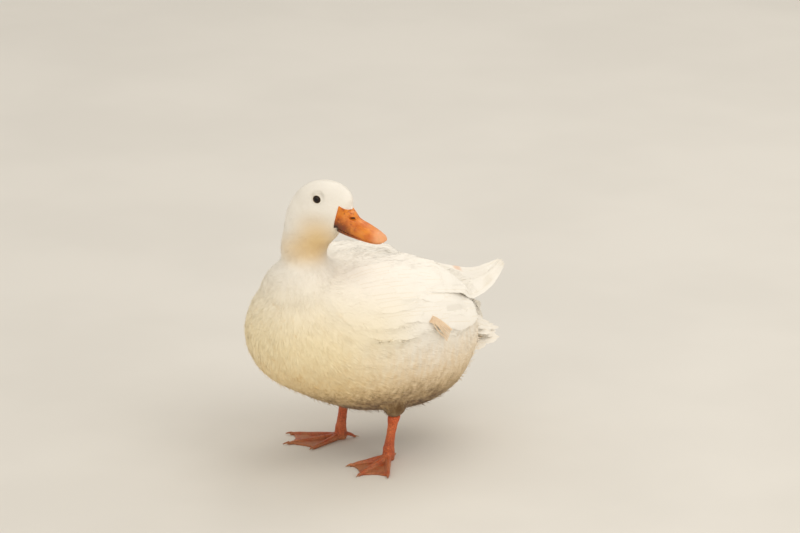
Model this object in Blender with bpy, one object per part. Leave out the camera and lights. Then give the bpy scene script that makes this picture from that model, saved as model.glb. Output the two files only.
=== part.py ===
"""A white farmyard duck, life size, standing square and looking back over its left shoulder.

The duck faces -Y, its left side is +X and +Z is up. It stands on the soles of both feet at z = 0,
and the origin lies under the middle of the whole bird. Sizes in the tables are in millimetres,
measured from the point midway between the feet.
"""

import math
import random

import bmesh
import bpy
import numpy as np
from mathutils import Matrix, Vector

MM = 0.001
GAP = 0.3
SEED = 11
FUSE_SOLVER = "MANIFOLD"
SHARP_ANGLE = math.radians(50)
# Where the point between the feet stands.
STAND_Y = -33.3

# The trunk, station by station from breast to tail root:
# back (y, z), belly (y, z), half width, and the power of its rounded section.
TRUNK = (
    (-161, 187, -161, 157, 20, 2.0),
    (-154, 208, -153, 131, 43, 2.0),
    (-140, 226, -136, 112, 61, 2.05),
    (-116, 242, -110, 96, 79, 2.1),
    (-82, 252, -74, 76, 91, 2.1),
    (-38, 258, -30, 57, 98, 2.05),
    (8, 257, 12, 48, 99, 2.0),
    (46, 247, 50, 43, 95, 2.0),
    (80, 226, 84, 45, 86, 2.0),
    (108, 205, 112, 53, 73, 2.1),
    (129, 186, 134, 68, 58, 2.0),
    (144, 170, 149, 84, 44, 2.0),
    (154, 157, 158, 100, 31, 2.0),
)
TRUNK_RINGS = 23
TRUNK_SIDES = 32

# The head's own frame: forward, up, and out of its right side. It starts at the gape.
HEAD_TURN = math.radians(117)
HEAD_NOD = math.radians(1)
GAPE = Vector((41, -72, 311))

# Head and neck: outer line from nape over crown to forehead, inner line from throat to
# bill base, both (forward, up) from the gape, then half width and section power.
HEAD = (
    (-76, -40, -17, -42, 29, 2.0),
    (-74.5, -22, -12.5, -31, 28, 2.0),
    (-71, -4, -7, -23.5, 27, 2.0),
    (-66.5, 12, -3, -18.5, 25.5, 2.0),
    (-59.5, 28, -0.5, -14.5, 24.5, 2.0),
    (-47, 42, 1, -11, 24, 2.0),
    (-32, 50.5, 2, -8, 23, 2.0),
    (-17, 53, 3, -5, 21.5, 2.1),
    (-4, 51.5, 4, -1.5, 19, 2.1),
    (8, 46.5, 5, 4, 16, 2.1),
    (15, 38, 9, 11, 12.5, 2.1),
    (18, 30, 13, 19, 7.5, 2.0),
)
HEAD_RINGS = 21
HEAD_SIDES = 28
# The ring where the head is parted from the neck.
NECK_CUT = 4

# The neck's flare below the head: height, middle (x, y), radii (x, y).
NECK = (
    (262, 1, -92, 30, 31),
    (254, 0, -92, 37, 39),
    (244, 0, -92, 48, 48),
    (230, 0, -90, 57, 55),
    (212, 0, -88, 60, 58),
)

# The bill's upper half: forward, ridge height, edge height, half width.
BILL_UPPER = (
    (-2, 31, 0.5, 12.0),
    (6, 30, -2.5, 12.8),
    (14, 26, -5.0, 13.2),
    (21, 19.5, -6.8, 13.4),
    (28.5, 12.5, -8.4, 13.7),
    (36.5, 6, -10, 14.3),
    (44.5, 1, -11.2, 14.9),
    (51, -2.8, -12.2, 14.2),
    (55.8, -6, -13, 11.6),
    (58.8, -8.8, -13.6, 8.0),
    (60.2, -11.2, -14, 4.0),
)
# The bill's lower half: forward, lower height, upper height, half width.
BILL_LOWER = (
    (-3, -7.5, -0.5, 10.5),
    (8, -10.8, -3.7, 11.6),
    (20, -13.2, -7.2, 12.0),
    (33, -15.0, -9.9, 12.6),
    (44, -16.2, -11.7, 12.8),
    (52, -16.8, -12.9, 10.4),
    (56, -16.4, -13.7, 6.0),
)
BILL_UPPER_RINGS = 17
BILL_LOWER_RINGS = 11
BILL_SIDES = 20
BILL_POWER = 2.3
# How much narrower the inner face of a bill half is than its rim.
BILL_INSET = 0.93
NOSTRIL_AT = (21, 13.7)
NOSTRIL_SIZE = (4.6, 1.7)
# The nostril's bore: how far out of the middle, and how wide there.
NOSTRIL_BORE = ((4, 0.6), (8, 1.0), (16, 1.0))

EYE_AT = (-20, 33.5)
EYE_RADIUS = 7.2
EYE_OUT = 15.6
EYE_SIDES = (14, 9)
# The lids: radius and height of the opening, thickness of the rim, and how far it stands out.
LID_RADIUS = 6.0
LID_OPEN = 0.88
LID_THICK = (1.5, 1.2)
LID_OUT = 3.9
LID_SIDES = (18, 6)

HOCK = (51, 4, 56)
ANKLE = (50, -4, 16)
# The right leg stands a little nearer the middle and further back than the left.
RIGHT_STEP = Vector((4, 2, 0))
# The shank's half width and half depth, and its swellings from hock to ankle.
SHANK_RADII = (5.9, 6.3)
SHANK_SWELLINGS = ((0, 1.26), (0.12, 1.24), (0.28, 1.0), (0.6, 0.92), (0.85, 1.0), (1, 1.15))
THIGH_ROOT = (49, 12, 110)
THIGH_RADII = ((30, 34), (24, 28), (15, 18), (10.5, 11.5))

FOOT_SPLAY = math.radians(22)
# The toes: how far each is turned inwards, and its length.
TOES = (
    (33, 52),
    (2, 68),
    (-29, 63),
)
TOE_HEIGHT = 9.0
TOE_WIDTH = 8.5
# The toe's swellings at its joints, from root to tip.
TOE_SWELLINGS = ((0, 1.0), (0.2, 0.95), (0.42, 0.86), (0.58, 0.74), (0.8, 0.66), (0.95, 0.5), (1, 0.3))
WEB_THICK = 2.6
WEB_REACH = 0.93
WEB_SCALLOP = 0.83
HEEL = (5, 4)
CLAW_LENGTH = 7
CLAW_SHAPE = ((-0.3, 1.5), (0.2, 1.3), (0.65, 0.9), (1, 0.3))
CLAW_HEIGHT = (3.2, 1.6)
SPUR_LENGTH = 20
SPUR_TURN = math.radians(155)
SPUR_SHAPE = ((0, 3.2, 8), (0.4, 2.9, 6.5), (0.72, 2.5, 4), (0.9, 2.0, 1.9), (1, 1.3, 1.1))
FOOT_POST = ((0.5, 1.15), (7, 1.3), (11, 1.2))
# How deep a foot reaches below the floor before its sole is cut flat.
SOLE_DEPTH = 0.5
FLOOR_CUT = 400

# A feather in the solids: how broad it is from root to tip, its rib and half its edge.
VANE_PLAN = ((0, 0.5), (0.3, 0.94), (0.6, 1.0), (0.85, 0.78), (1, 0.35))
VANE_RIDGE = 0.9
VANE_EDGE = 0.3

# The folded wing on the trunk: station along it, lower and upper edge (degrees up from the
# side), and how far it stands out.
WING = (
    (3.2, 28, 50, 3),
    (3.6, 14, 66, 7),
    (4.4, 6, 74, 9),
    (5.4, 4, 78, 10),
    (6.6, 4, 80, 10.5),
    (7.8, 6, 80, 10.5),
    (8.8, 10, 78, 9.5),
    (9.6, 16, 74, 7),
    (10.2, 24, 66, 4),
)
WING_EDGE = 1.6
WING_ROUNDING = 0.6
WING_CORE_END = 0.95
WING_CORE_RINGS = 14
WING_CORE_SIDES = 8
WING_CORE_DEPTH = 4

# Tiers of feathers on a wing, front to rear: root along the wing, length along it, how many,
# and width. Roots lie further forward towards the lower edge.
WING_TIERS = (
    (0.24, 0.27, 5, 28),
    (0.42, 0.28, 5, 29),
    (0.60, 0.29, 6, 26),
    (0.77, 0.28, 6, 25),
)
TIER_SLANT = 0.10
TIER_EDGES = (0.1, 0.92)
TIER_DRIFT = -0.03
VANE_LIFT = (-3.0, -0.2, 1.0, 1.9)

# The cut flight feathers at the left wing's lower edge: middle one's root and tip on the wing,
# (along, across), the spacing of roots and of tips across, and how far each stands out.
QUILL_ROOT = (0.475, 0.215)
QUILL_TIP = (0.535, 0.09)
QUILL_SPREAD = (0.013, 0.022)
QUILL_LIFT = (1.0, 3.0, 3.8, 3.4)
QUILLS = 4
QUILL_WIDTH = 5.5
QUILL_BLUNT = 0.85

# The right wing's long flight feathers, first and last: where they grow from the wing
# (along, across), the points that they bend through, and their tips.
FAR_LEAVE = ((0.80, 0.82), (0.88, 0.36))
FAR_SINK = 0.2
FAR_BENDS = ((-22, 158, 188), (-36, 170, 146))
FAR_TIPS = ((-5, 213, 197.5), (-10, 224, 182))
FAR_LONGER = 6
FAR_COUNT = 7
FAR_WIDTH = 20
FAR_LAYER = 0.8
FAR_SECTIONS = 6
FAR_OUT = Vector((-0.85, 0.2, 0.35)).normalized()

# The tail from its flight feathers to the coverts over and under them: count, half spread in
# degrees, root (half width, y, z), length in the middle and at the sides, width, and the fall of
# the middle and of the side feathers.
TAIL_TIERS = (
    (9, 26, (15, 146, 121), 49, 42, 15, 2, 9),
    (5, 22, (15, 142, 134), 40, 34, 22, 10, 16),
    (4, 20, (13, 138, 146), 30, 27, 22, 11, 16),
    (5, 24, (17, 145, 108), 34, 28, 21, -2, 3),
)
TAIL_FACE = Vector((0.25, 0.15, 1))
TAIL_BOW = 1.5
TAIL_BLUNT = 0.7
# The flesh at the tail's root: y, z, half width and half height.
TAIL_CORE = (
    (132, 127, 38, 30),
    (146, 126, 34, 25),
    (158, 123, 27, 16),
    (170, 120, 19, 7),
)
# Curled feathers over the tail root: points from root to tip.
CURLS = (
    ((5, 150, 142), (8, 166, 141), (9, 173, 148), (8, 167, 158)),
    ((-7, 150, 142), (-5, 168, 139), (-4, 177, 145), (-5, 173, 154)),
)
CURL_WIDTH = 8
CURL_SECTIONS = 6
CURL_BLUNT = 0.3

# Colour and roughness of each node, before its side.
LOOKS = {
    "torso": ((0.86, 0.78, 0.60), 0.85),
    "neck": ((0.86, 0.74, 0.50), 0.85),
    "head": ((0.80, 0.71, 0.52), 0.85),
    "bill_upper": ((0.82, 0.26, 0.04), 0.40),
    "bill_lower": ((0.62, 0.18, 0.04), 0.45),
    "eye": ((0.02, 0.012, 0.008), 0.08),
    "wing": ((0.90, 0.86, 0.76), 0.80),
    "tail": ((0.88, 0.83, 0.72), 0.80),
    "thigh": ((0.86, 0.78, 0.60), 0.85),
    "shank": ((0.62, 0.13, 0.03), 0.50),
    "foot": ((0.60, 0.14, 0.03), 0.50),
}


def finish(name, colour, roughness):
    """A Principled material."""
    material = bpy.data.materials.new(name)
    material.use_nodes = True
    shader = material.node_tree.nodes["Principled BSDF"]
    shader.inputs["Base Color"].default_value = (*colour, 1)
    shader.inputs["Roughness"].default_value = roughness
    return material


def dress():
    """Gives each node its own material."""
    for part in bpy.data.objects:
        look = LOOKS[part.name.removesuffix("_L").removesuffix("_R")]
        part.data.materials.clear()
        part.data.materials.append(finish(part.name, *look))


def smooth(mesh):
    """Shades a mesh smooth but for its sharp edges."""
    mesh.shade_smooth()
    mesh.set_sharp_from_angle(angle=SHARP_ANGLE)


def solid(name, bm):
    """An object from a bmesh given in millimetres from the point between the feet."""
    bmesh.ops.remove_doubles(bm, verts=bm.verts, dist=0.001)
    bmesh.ops.recalc_face_normals(bm, faces=bm.faces)
    bmesh.ops.triangulate(bm, faces=bm.faces)
    bmesh.ops.translate(bm, verts=bm.verts, vec=(0, STAND_Y, 0))
    bmesh.ops.scale(bm, verts=bm.verts, vec=(MM, MM, MM))
    mesh = bpy.data.meshes.new(name)
    bm.to_mesh(mesh)
    bm.free()
    smooth(mesh)
    part = bpy.data.objects.new(name, mesh)
    bpy.context.scene.collection.objects.link(part)
    return part


def cutter(name, bm):
    """A solid that only cuts, so it isn't shown."""
    part = solid(name, bm)
    part.hide_render = True
    part.display_type = "WIRE"
    return part


def skin_rings(bm, rings, closed=False):
    """Joins rings of points into a tube with flat ends, or into a closed loop."""
    loops = [[bm.verts.new(point) for point in ring] for ring in rings]
    following = loops[1:] + loops[:1] if closed else loops[1:]
    for near, far in zip(loops, following):
        for i, vertex in enumerate(near):
            j = (i + 1) % len(near)
            bm.faces.new((vertex, near[j], far[j], far[i]))
    if not closed:
        bm.faces.new(loops[0])
        bm.faces.new(loops[-1])


def loft(name, rings, make=solid, closed=False):
    """A closed solid through rings of points."""
    bm = bmesh.new()
    skin_rings(bm, rings, closed)
    return make(name, bm)


def padded_table(rows):
    """The rows with one more at each end, for a smooth curve through them all."""
    table = np.array(rows, float)
    return np.vstack([2 * table[0] - table[1], table, 2 * table[-1] - table[-2]])


def curve_row(padded, place):
    """One row of a Catmull-Rom curve through a padded table."""
    step = min(int(place), len(padded) - 4)
    t = place - step
    a, b, c, d = padded[step:step + 4]
    return 0.5 * (2 * b + (c - a) * t + (2 * a - 5 * b + 4 * c - d) * t ** 2 + (3 * b - a - 3 * c + d) * t ** 3)


def smooth_rows(rows, count):
    """Catmull-Rom rows between the given ones, count in all."""
    padded = padded_table(rows)
    return [curve_row(padded, place) for place in np.linspace(0, len(rows) - 1, count)]


def smooth_path(points, count):
    """Points along a smooth curve through the given ones."""
    return [Vector(row) for row in smooth_rows(points, count)]


def rounded(angle, power):
    """Cosine and sine of a superellipse."""
    c, s = math.cos(angle), math.sin(angle)
    return (
        math.copysign(abs(c) ** (2 / power), c),
        math.copysign(abs(s) ** (2 / power), s),
    )


def oval(middle, across, up, sides, power=2.0):
    """A ring of points about a middle, spanned by two half axes."""
    ring = []
    for k in range(sides):
        c, s = rounded(math.tau * k / sides, power)
        ring.append(Vector(middle) + Vector(across) * c + Vector(up) * s)
    return ring


def trunk_ring(row):
    """A section of the trunk between a point of its back and one of its belly."""
    back = Vector((0, row[0], row[1]))
    belly = Vector((0, row[2], row[3]))
    return oval((back + belly) / 2, (row[4], 0, 0), (back - belly) / 2, TRUNK_SIDES, row[5])


def head_axes():
    """Unit vectors: forward along the bill, up, and out of the head's right side."""
    level = Vector((math.sin(HEAD_TURN), -math.cos(HEAD_TURN), 0))
    side = Vector((-math.cos(HEAD_TURN), -math.sin(HEAD_TURN), 0))
    nod = Matrix.Rotation(-HEAD_NOD, 3, side)
    forward = nod @ level
    return forward, side.cross(forward), side


def head_point(forward, up, side=0.0):
    """A point given in the head's own frame."""
    along, above, out = head_axes()
    return GAPE + along * forward + above * up + out * side


def head_ring(row):
    """A section of head or neck between a point of its outer line and one of its inner line."""
    outer = head_point(row[0], row[1])
    inner = head_point(row[2], row[3])
    return oval((outer + inner) / 2, head_axes()[2] * row[4], (outer - inner) / 2, HEAD_SIDES, row[5])


def neck_ring(row):
    """A level section of the neck's flare, its points turned to match the head's."""
    height, x, y, across, along = row
    forward, _, side = head_axes()
    ring = []
    for k in range(HEAD_SIDES):
        angle = math.tau * k / HEAD_SIDES
        out = side * math.cos(angle) - forward * math.sin(angle)
        flat = Vector((out.x, out.y, 0)).normalized()
        reach = 1 / math.hypot(flat.x / across, flat.y / along)
        ring.append(Vector((x, y, height)) + flat * reach)
    return ring


def drawn_back(ring, other, distance):
    """A ring moved off its own plane, towards another ring."""
    towards = sum(other, Vector()) / len(other) - sum(ring, Vector()) / len(ring)
    normal = (ring[1] - ring[0]).cross(ring[len(ring) // 3] - ring[0]).normalized()
    if normal.dot(towards) < 0:
        normal.negate()
    return [point + normal * distance for point in ring]


def inflated(part, distance):
    """A hidden copy of a part grown outwards."""
    bm = bmesh.new()
    bm.from_mesh(part.data)
    bm.normal_update()
    for vertex, normal in [(v, v.normal.copy()) for v in bm.verts]:
        vertex.co += normal * distance * MM
    mesh = bpy.data.meshes.new("room")
    bm.to_mesh(mesh)
    bm.free()
    copy = bpy.data.objects.new("room", mesh)
    bpy.context.scene.collection.objects.link(copy)
    copy.hide_render = True
    copy.display_type = "WIRE"
    return copy


def apply_boolean(part, operation, solver, other=None, collection=None):
    """Applies one Boolean and leaves the part with no modifier."""
    cut = part.modifiers.new(operation.lower(), "BOOLEAN")
    cut.operation = operation
    cut.solver = solver
    if collection:
        cut.operand_type = "COLLECTION"
        cut.collection = collection
    else:
        cut.object = other
    graph = bpy.context.evaluated_depsgraph_get()
    result = bpy.data.meshes.new_from_object(part.evaluated_get(graph))
    part.modifiers.clear()
    old = part.data
    part.data = result
    bpy.data.meshes.remove(old)


def carve(part, tool):
    """Cuts a part with a tool, then removes the tool."""
    apply_boolean(part, "DIFFERENCE", "EXACT", tool)
    bpy.data.objects.remove(tool)
    keep_largest(part)


def fuse(part, pieces, solver="EXACT"):
    """Joins pieces to a part in one union and removes them."""
    group = bpy.data.collections.new(part.name + "_pieces")
    for piece in pieces:
        group.objects.link(piece)
    apply_boolean(part, "UNION", solver, collection=group)
    for piece in pieces:
        bpy.data.objects.remove(piece)
    bpy.data.collections.remove(group)
    keep_largest(part)


def clear_of(part, *neighbours):
    """Cuts a part back so that it meets its neighbours face to face."""
    for neighbour in neighbours:
        carve(part, inflated(neighbour, GAP))


def shells_of(bm):
    """The separate surfaces of a mesh, each as a list of faces."""
    unseen = set(bm.faces)
    found = []
    while unseen:
        grown = [unseen.pop()]
        for face in grown:
            for edge in face.edges:
                for other in edge.link_faces:
                    if other in unseen:
                        unseen.remove(other)
                        grown.append(other)
        found.append(grown)
    return found


def shell_volume(faces):
    """The signed volume that a closed set of faces holds, times six."""
    total = 0.0
    for face in faces:
        corners = [loop.vert.co for loop in face.loops]
        for one, two in zip(corners[1:], corners[2:]):
            total += corners[0].dot(one.cross(two))
    return total


def keep_largest(part):
    """Leaves a part with only its largest closed surface."""
    bm = bmesh.new()
    bm.from_mesh(part.data)
    bmesh.ops.remove_doubles(bm, verts=bm.verts, dist=2e-6)
    shells = sorted(shells_of(bm), key=shell_volume, reverse=True)
    for faces in shells[1:]:
        bmesh.ops.delete(bm, geom=faces, context="FACES")
    loose = [v for v in bm.verts if not v.link_faces]
    bmesh.ops.delete(bm, geom=loose, context="VERTS")
    bmesh.ops.triangulate(bm, faces=bm.faces)
    bm.to_mesh(part.data)
    bm.free()
    smooth(part.data)


def vane(path, faces, width, blunt=VANE_PLAN[-1][1]):
    """One feather along a path of points, its outer side looking the way that faces give.

    Both sides are split into triangles alike, so that a bent vane keeps its thickness.
    """
    places, breadths = zip(*VANE_PLAN)
    bm = bmesh.new()
    rows = []
    for k, (middle, face) in enumerate(zip(path, faces)):
        share = k / (len(path) - 1)
        before = path[max(k - 1, 0)]
        after = path[min(k + 1, len(path) - 1)]
        across = (after - before).cross(face).normalized()
        out = across.cross(after - before).normalized()
        broad = float(np.interp(share, places, breadths)) if share < 1 else blunt
        half = across * width / 2 * broad
        ridge = out * (VANE_RIDGE * (1 - 0.5 * share) + VANE_EDGE)
        edge = out * VANE_EDGE
        top = [middle - half + edge, middle + ridge, middle + half + edge]
        bottom = [middle - half - edge, middle - edge, middle + half - edge]
        rows.append([[bm.verts.new(point) for point in line] for line in (top, bottom)])
    for near, far in zip(rows, rows[1:]):
        for layer in (0, 1):
            for outer in (0, 2):
                bm.faces.new((near[layer][outer], near[layer][1], far[layer][1]))
                bm.faces.new((near[layer][outer], far[layer][1], far[layer][outer]))
        for outer in (0, 2):
            bm.faces.new((near[0][outer], near[1][outer], far[1][outer]))
            bm.faces.new((near[0][outer], far[1][outer], far[0][outer]))
    for top, bottom in (rows[0], rows[-1]):
        for outer in (0, 2):
            bm.faces.new((top[outer], top[1], bottom[1]))
            bm.faces.new((top[outer], bottom[1], bottom[outer]))
    return solid("vane", bm)


def make_head_and_neck(trunk):
    """Head and neck, shaped as one form and parted by a thin cut below the cheeks."""
    rows = smooth_rows(HEAD, HEAD_RINGS)
    head_rings = [head_ring(row) for row in rows[NECK_CUT:]]
    neck_rings = [neck_ring(row) for row in reversed(NECK)] + [head_ring(row) for row in rows[:NECK_CUT + 1]]
    head_rings[0] = drawn_back(head_rings[0], head_rings[1], GAP)
    head = loft("head", head_rings)
    neck = loft("neck", neck_rings)
    clear_of(neck, trunk)
    return head, neck


def bill_ring(forward, top, bottom, half_width):
    """A section of a bill half, rounded on one side and nearly flat on the other."""
    middle = head_point(forward, bottom)
    _, up, side = head_axes()
    half = BILL_SIDES // 2
    ring = []
    for k in range(half + 1):
        c, s = rounded(math.pi * k / half, BILL_POWER)
        ring.append(middle + side * half_width * c + up * (top - bottom) * s)
    for k in range(1, half):
        across = 1 - 2 * k / half
        ring.append(middle - side * half_width * BILL_INSET * across)
    return ring


def make_bill(head):
    """Upper and lower halves of the bill, with nostrils, set against the feathered face."""
    upper = loft("bill_upper", [bill_ring(*row) for row in smooth_rows(BILL_UPPER, BILL_UPPER_RINGS)])
    lower = loft("bill_lower", [bill_ring(*row) for row in smooth_rows(BILL_LOWER, BILL_LOWER_RINGS)])
    clear_of(upper, head)
    clear_of(lower, head)
    along, above, _ = head_axes()
    for out in (1, -1):
        rings = []
        for reach, grow in NOSTRIL_BORE:
            middle = head_point(*NOSTRIL_AT, out * reach)
            rings.append(oval(middle, along * NOSTRIL_SIZE[0] * grow, above * NOSTRIL_SIZE[1] * grow, 10))
        carve(upper, loft("nostril_cut", rings, cutter))


def ball(name, middle, radius, make=solid):
    """A faceted ball whose poles point out of the head's sides."""
    bm = bmesh.new()
    bmesh.ops.create_uvsphere(bm, u_segments=EYE_SIDES[0], v_segments=EYE_SIDES[1], radius=radius)
    turn = head_axes()[2].to_track_quat("Z", "Y").to_matrix()
    bmesh.ops.rotate(bm, verts=bm.verts, matrix=turn)
    bmesh.ops.translate(bm, verts=bm.verts, vec=middle)
    return make(name, bm)


def make_eyes(head):
    """Eyes in sockets, with a raised lid all round each."""
    along, above, side = head_axes()
    for name, out in (("eye_R", 1), ("eye_L", -1)):
        rings = []
        for k in range(LID_SIDES[0]):
            angle = math.tau * k / LID_SIDES[0]
            outward = along * math.cos(angle) + above * math.sin(angle) * LID_OPEN
            centre = head_point(*EYE_AT, out * (EYE_OUT + LID_OUT)) + outward * LID_RADIUS
            rings.append(oval(centre, outward * LID_THICK[0], side * out * LID_THICK[1], LID_SIDES[1]))
        fuse(head, [loft("lid", rings, closed=True)])
        middle = head_point(*EYE_AT, out * EYE_OUT)
        carve(head, ball("socket_room", middle, EYE_RADIUS + GAP, cutter))
        ball(name, middle, EYE_RADIUS)


def mirrored(point, out):
    """A point of the left side, or its image on the right when out is -1."""
    return Vector((point[0] * out, point[1], point[2]))


def leg_point(point, out):
    """A point of a leg."""
    return mirrored(point, out) + (RIGHT_STEP if out < 0 else Vector())


def shank_ring(middle, grow):
    """A level section of a shank."""
    return oval(middle, (SHANK_RADII[0] * grow, 0, 0), (0, SHANK_RADII[1] * grow, 0), 14)


def make_leg(side, out, trunk):
    """Feathered thigh, scaled shank and webbed foot of one side."""
    hock = leg_point(HOCK, out)
    ankle = leg_point(ANKLE, out)
    root = leg_point(THIGH_ROOT, out)
    rings = []
    for k, (across, along) in enumerate(THIGH_RADII):
        middle = root.lerp(hock + Vector((0, 0, GAP)), k / (len(THIGH_RADII) - 1))
        rings.append(oval(middle, (across, 0, 0), (0, along, 0), 20))
    clear_of(loft("thigh_" + side, rings), trunk)
    shank = loft("shank_" + side, [shank_ring(hock.lerp(ankle, share), grow) for share, grow in SHANK_SWELLINGS])
    clear_of(shank, trunk)
    make_foot(side, out, ankle - Vector((0, 0, GAP)))


def level_turn(angle):
    """The level direction at an angle from straight ahead."""
    return Vector((-math.sin(angle), -math.cos(angle), 0))


def tapered(name, base, heading, length, shape):
    """A round piece along a level heading: share of its length, radius and height of each section."""
    across = Vector((-heading.y, heading.x, 0))
    rings = []
    for share, wide, tall, height in shape:
        middle = base + heading * length * share
        middle.z = height
        rings.append(oval(middle, across * wide, (0, 0, tall), 8))
    return loft(name, rings)


def make_web(base, out, headings):
    """The web between the toes, its front edge scalloped."""
    edge = [base + Vector((HEEL[0] * out, HEEL[1], 0))]
    for k, (heading, length) in enumerate(headings):
        edge.append(base + heading * length * WEB_REACH)
        if k < len(headings) - 1:
            following, reach = headings[k + 1]
            between = (heading + following).normalized()
            edge.append(base + between * (length + reach) / 2 * WEB_SCALLOP)
    edge.append(base + Vector((-HEEL[0] * out, HEEL[1], 0)))
    bm = bmesh.new()
    sole = bm.faces.new([bm.verts.new(point - Vector((0, 0, SOLE_DEPTH))) for point in edge])
    grown = bmesh.ops.extrude_face_region(bm, geom=[sole])
    lifted = [v for v in grown["geom"] if isinstance(v, bmesh.types.BMVert)]
    bmesh.ops.translate(bm, verts=lifted, vec=(0, 0, WEB_THICK + SOLE_DEPTH))
    return solid("web", bm)


def make_foot(side, out, ankle):
    """A webbed foot with a flat sole: three toes, web, heel, spur toe and claws."""
    base = Vector((ankle.x, ankle.y - 1, 0))
    headings = []
    pieces = []
    for angle, length in TOES:
        heading = level_turn(out * (math.radians(angle) - FOOT_SPLAY))
        headings.append((heading, length))
        toe = [
            (share, TOE_WIDTH / 2 * grow, TOE_HEIGHT / 2 * grow, TOE_HEIGHT * grow * 0.42)
            for share, grow in TOE_SWELLINGS
        ]
        claw = [(share, grow, grow, CLAW_HEIGHT[0] - CLAW_HEIGHT[1] * share) for share, grow in CLAW_SHAPE]
        pieces.append(tapered("toe", base, heading, length, toe))
        pieces.append(tapered("claw", base + heading * length, heading, CLAW_LENGTH, claw))
    pieces.append(make_web(base, out, headings))
    spur = [(share, grow, grow, height) for share, grow, height in SPUR_SHAPE]
    pieces.append(tapered("spur", base, level_turn(SPUR_TURN * out), SPUR_LENGTH, spur))
    post = [*FOOT_POST, (ankle.z, SHANK_SWELLINGS[-1][1])]
    foot = loft("foot_" + side, [shank_ring((ankle.x, ankle.y, height), grow) for height, grow in post])
    fuse(foot, pieces)
    bm = bmesh.new()
    bmesh.ops.create_cube(bm, size=FLOOR_CUT)
    bmesh.ops.translate(bm, verts=bm.verts, vec=(0, 0, -FLOOR_CUT / 2))
    carve(foot, cutter("floor_cut", bm))


def trunk_point(place, angle):
    """A point on the smooth trunk, at a station and an angle up from its left side."""
    row = curve_row(padded_table(TRUNK), min(max(place, 0), len(TRUNK) - 1))
    c, s = rounded(angle, row[5])
    back = Vector((0, row[0], row[1]))
    belly = Vector((0, row[2], row[3]))
    return (back + belly) / 2 + Vector((row[4], 0, 0)) * c + (back - belly) / 2 * s


def trunk_frame(place, angle):
    """A point on the smooth trunk and the way out of it there."""
    here = trunk_point(place, angle)
    onward = trunk_point(place + 0.05, angle) - trunk_point(place - 0.05, angle)
    round_it = trunk_point(place, angle + 0.02) - trunk_point(place, angle - 0.02)
    normal = onward.cross(round_it).normalized()
    middle = (trunk_point(place, 0) + trunk_point(place, math.pi)) / 2
    if normal.dot(here - middle) < 0:
        normal.negate()
    return here, normal


def wing_bulge(along, across):
    """How far a wing stands out of the trunk above its edge."""
    lift = curve_row(padded_table(WING), along * (len(WING) - 1))[3]
    return lift * max(math.sin(math.pi * min(max(across, 0), 1)), 0) ** WING_ROUNDING


def wing_frame(along, across, out):
    """A point on the outer side of a wing and the way out there; along and across run from 0 to 1."""
    place, low, high, _ = curve_row(padded_table(WING), along * (len(WING) - 1))
    point, normal = trunk_frame(place, math.radians(low + (high - low) * across))
    point += normal * (WING_EDGE + wing_bulge(along, across))
    return mirrored(point, out), mirrored(normal, out)


def wing_vane(root, tip, lifts, width, out, blunt=VANE_PLAN[-1][1]):
    """A feather that follows the wing's surface between two places given along and across it."""
    path = []
    faces = []
    for k, lift in enumerate(lifts):
        share = k / (len(lifts) - 1)
        along = root[0] + (tip[0] - root[0]) * share
        across = root[1] + (tip[1] - root[1]) * share
        point, normal = wing_frame(along, across, out)
        path.append(point + normal * lift)
        faces.append(normal)
    return vane(path, faces, width, blunt)


def wing_tiers(out, chance):
    """The tiers of small and middle feathers of one wing."""
    vanes = []
    low, high = TIER_EDGES
    for tier, (start, length, count, width) in enumerate(WING_TIERS):
        for k in range(count):
            across = low + (high - low) * (k + 0.5 * (tier % 2)) / count + chance.uniform(-0.012, 0.012)
            root = (start - TIER_SLANT * (1 - across), across)
            tip = (root[0] + length * chance.uniform(0.94, 1.06), across + TIER_DRIFT)
            vanes.append(wing_vane(root, tip, VANE_LIFT, width * chance.uniform(0.94, 1.06), out))
    return vanes


def clipped_quills():
    """The cut flight feathers that show at the left wing's lower edge."""
    vanes = []
    for k in range(QUILLS):
        step = k - (QUILLS - 1) / 2
        root = (QUILL_ROOT[0] + step * QUILL_SPREAD[0], QUILL_ROOT[1] + step * QUILL_SPREAD[0])
        tip = (QUILL_TIP[0] + step * QUILL_SPREAD[1], QUILL_TIP[1] + step * QUILL_SPREAD[1])
        vanes.append(wing_vane(root, tip, QUILL_LIFT, QUILL_WIDTH, 1, QUILL_BLUNT))
    return vanes


def between(pair, share):
    """The place a share of the way from the first of a pair to the second."""
    return Vector(pair[0]).lerp(Vector(pair[1]), share)


def far_primaries(out):
    """The long flight feathers of the right wing, held over the rump."""
    vanes = []
    for k in range(FAR_COUNT):
        share = k / (FAR_COUNT - 1)
        along, across = between([(*place, 0) for place in FAR_LEAVE], share)[:2]
        root, root_face = wing_frame(along - FAR_SINK, across, out)
        leave, leave_face = wing_frame(along, across, out)
        layer = FAR_OUT * FAR_LAYER * k
        bend = between(FAR_BENDS, share) + layer
        tip = between(FAR_TIPS, share) + layer
        tip += (tip - bend).normalized() * FAR_LONGER * math.sin(math.pi * share)
        path = smooth_path([root - root_face * 3, leave + leave_face, bend, tip], FAR_SECTIONS)
        faces = [
            root_face.lerp(FAR_OUT, min(1, 1.5 * step / (FAR_SECTIONS - 1)))
            for step in range(FAR_SECTIONS)
        ]
        vanes.append(vane(path, faces, FAR_WIDTH))
    return vanes


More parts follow.
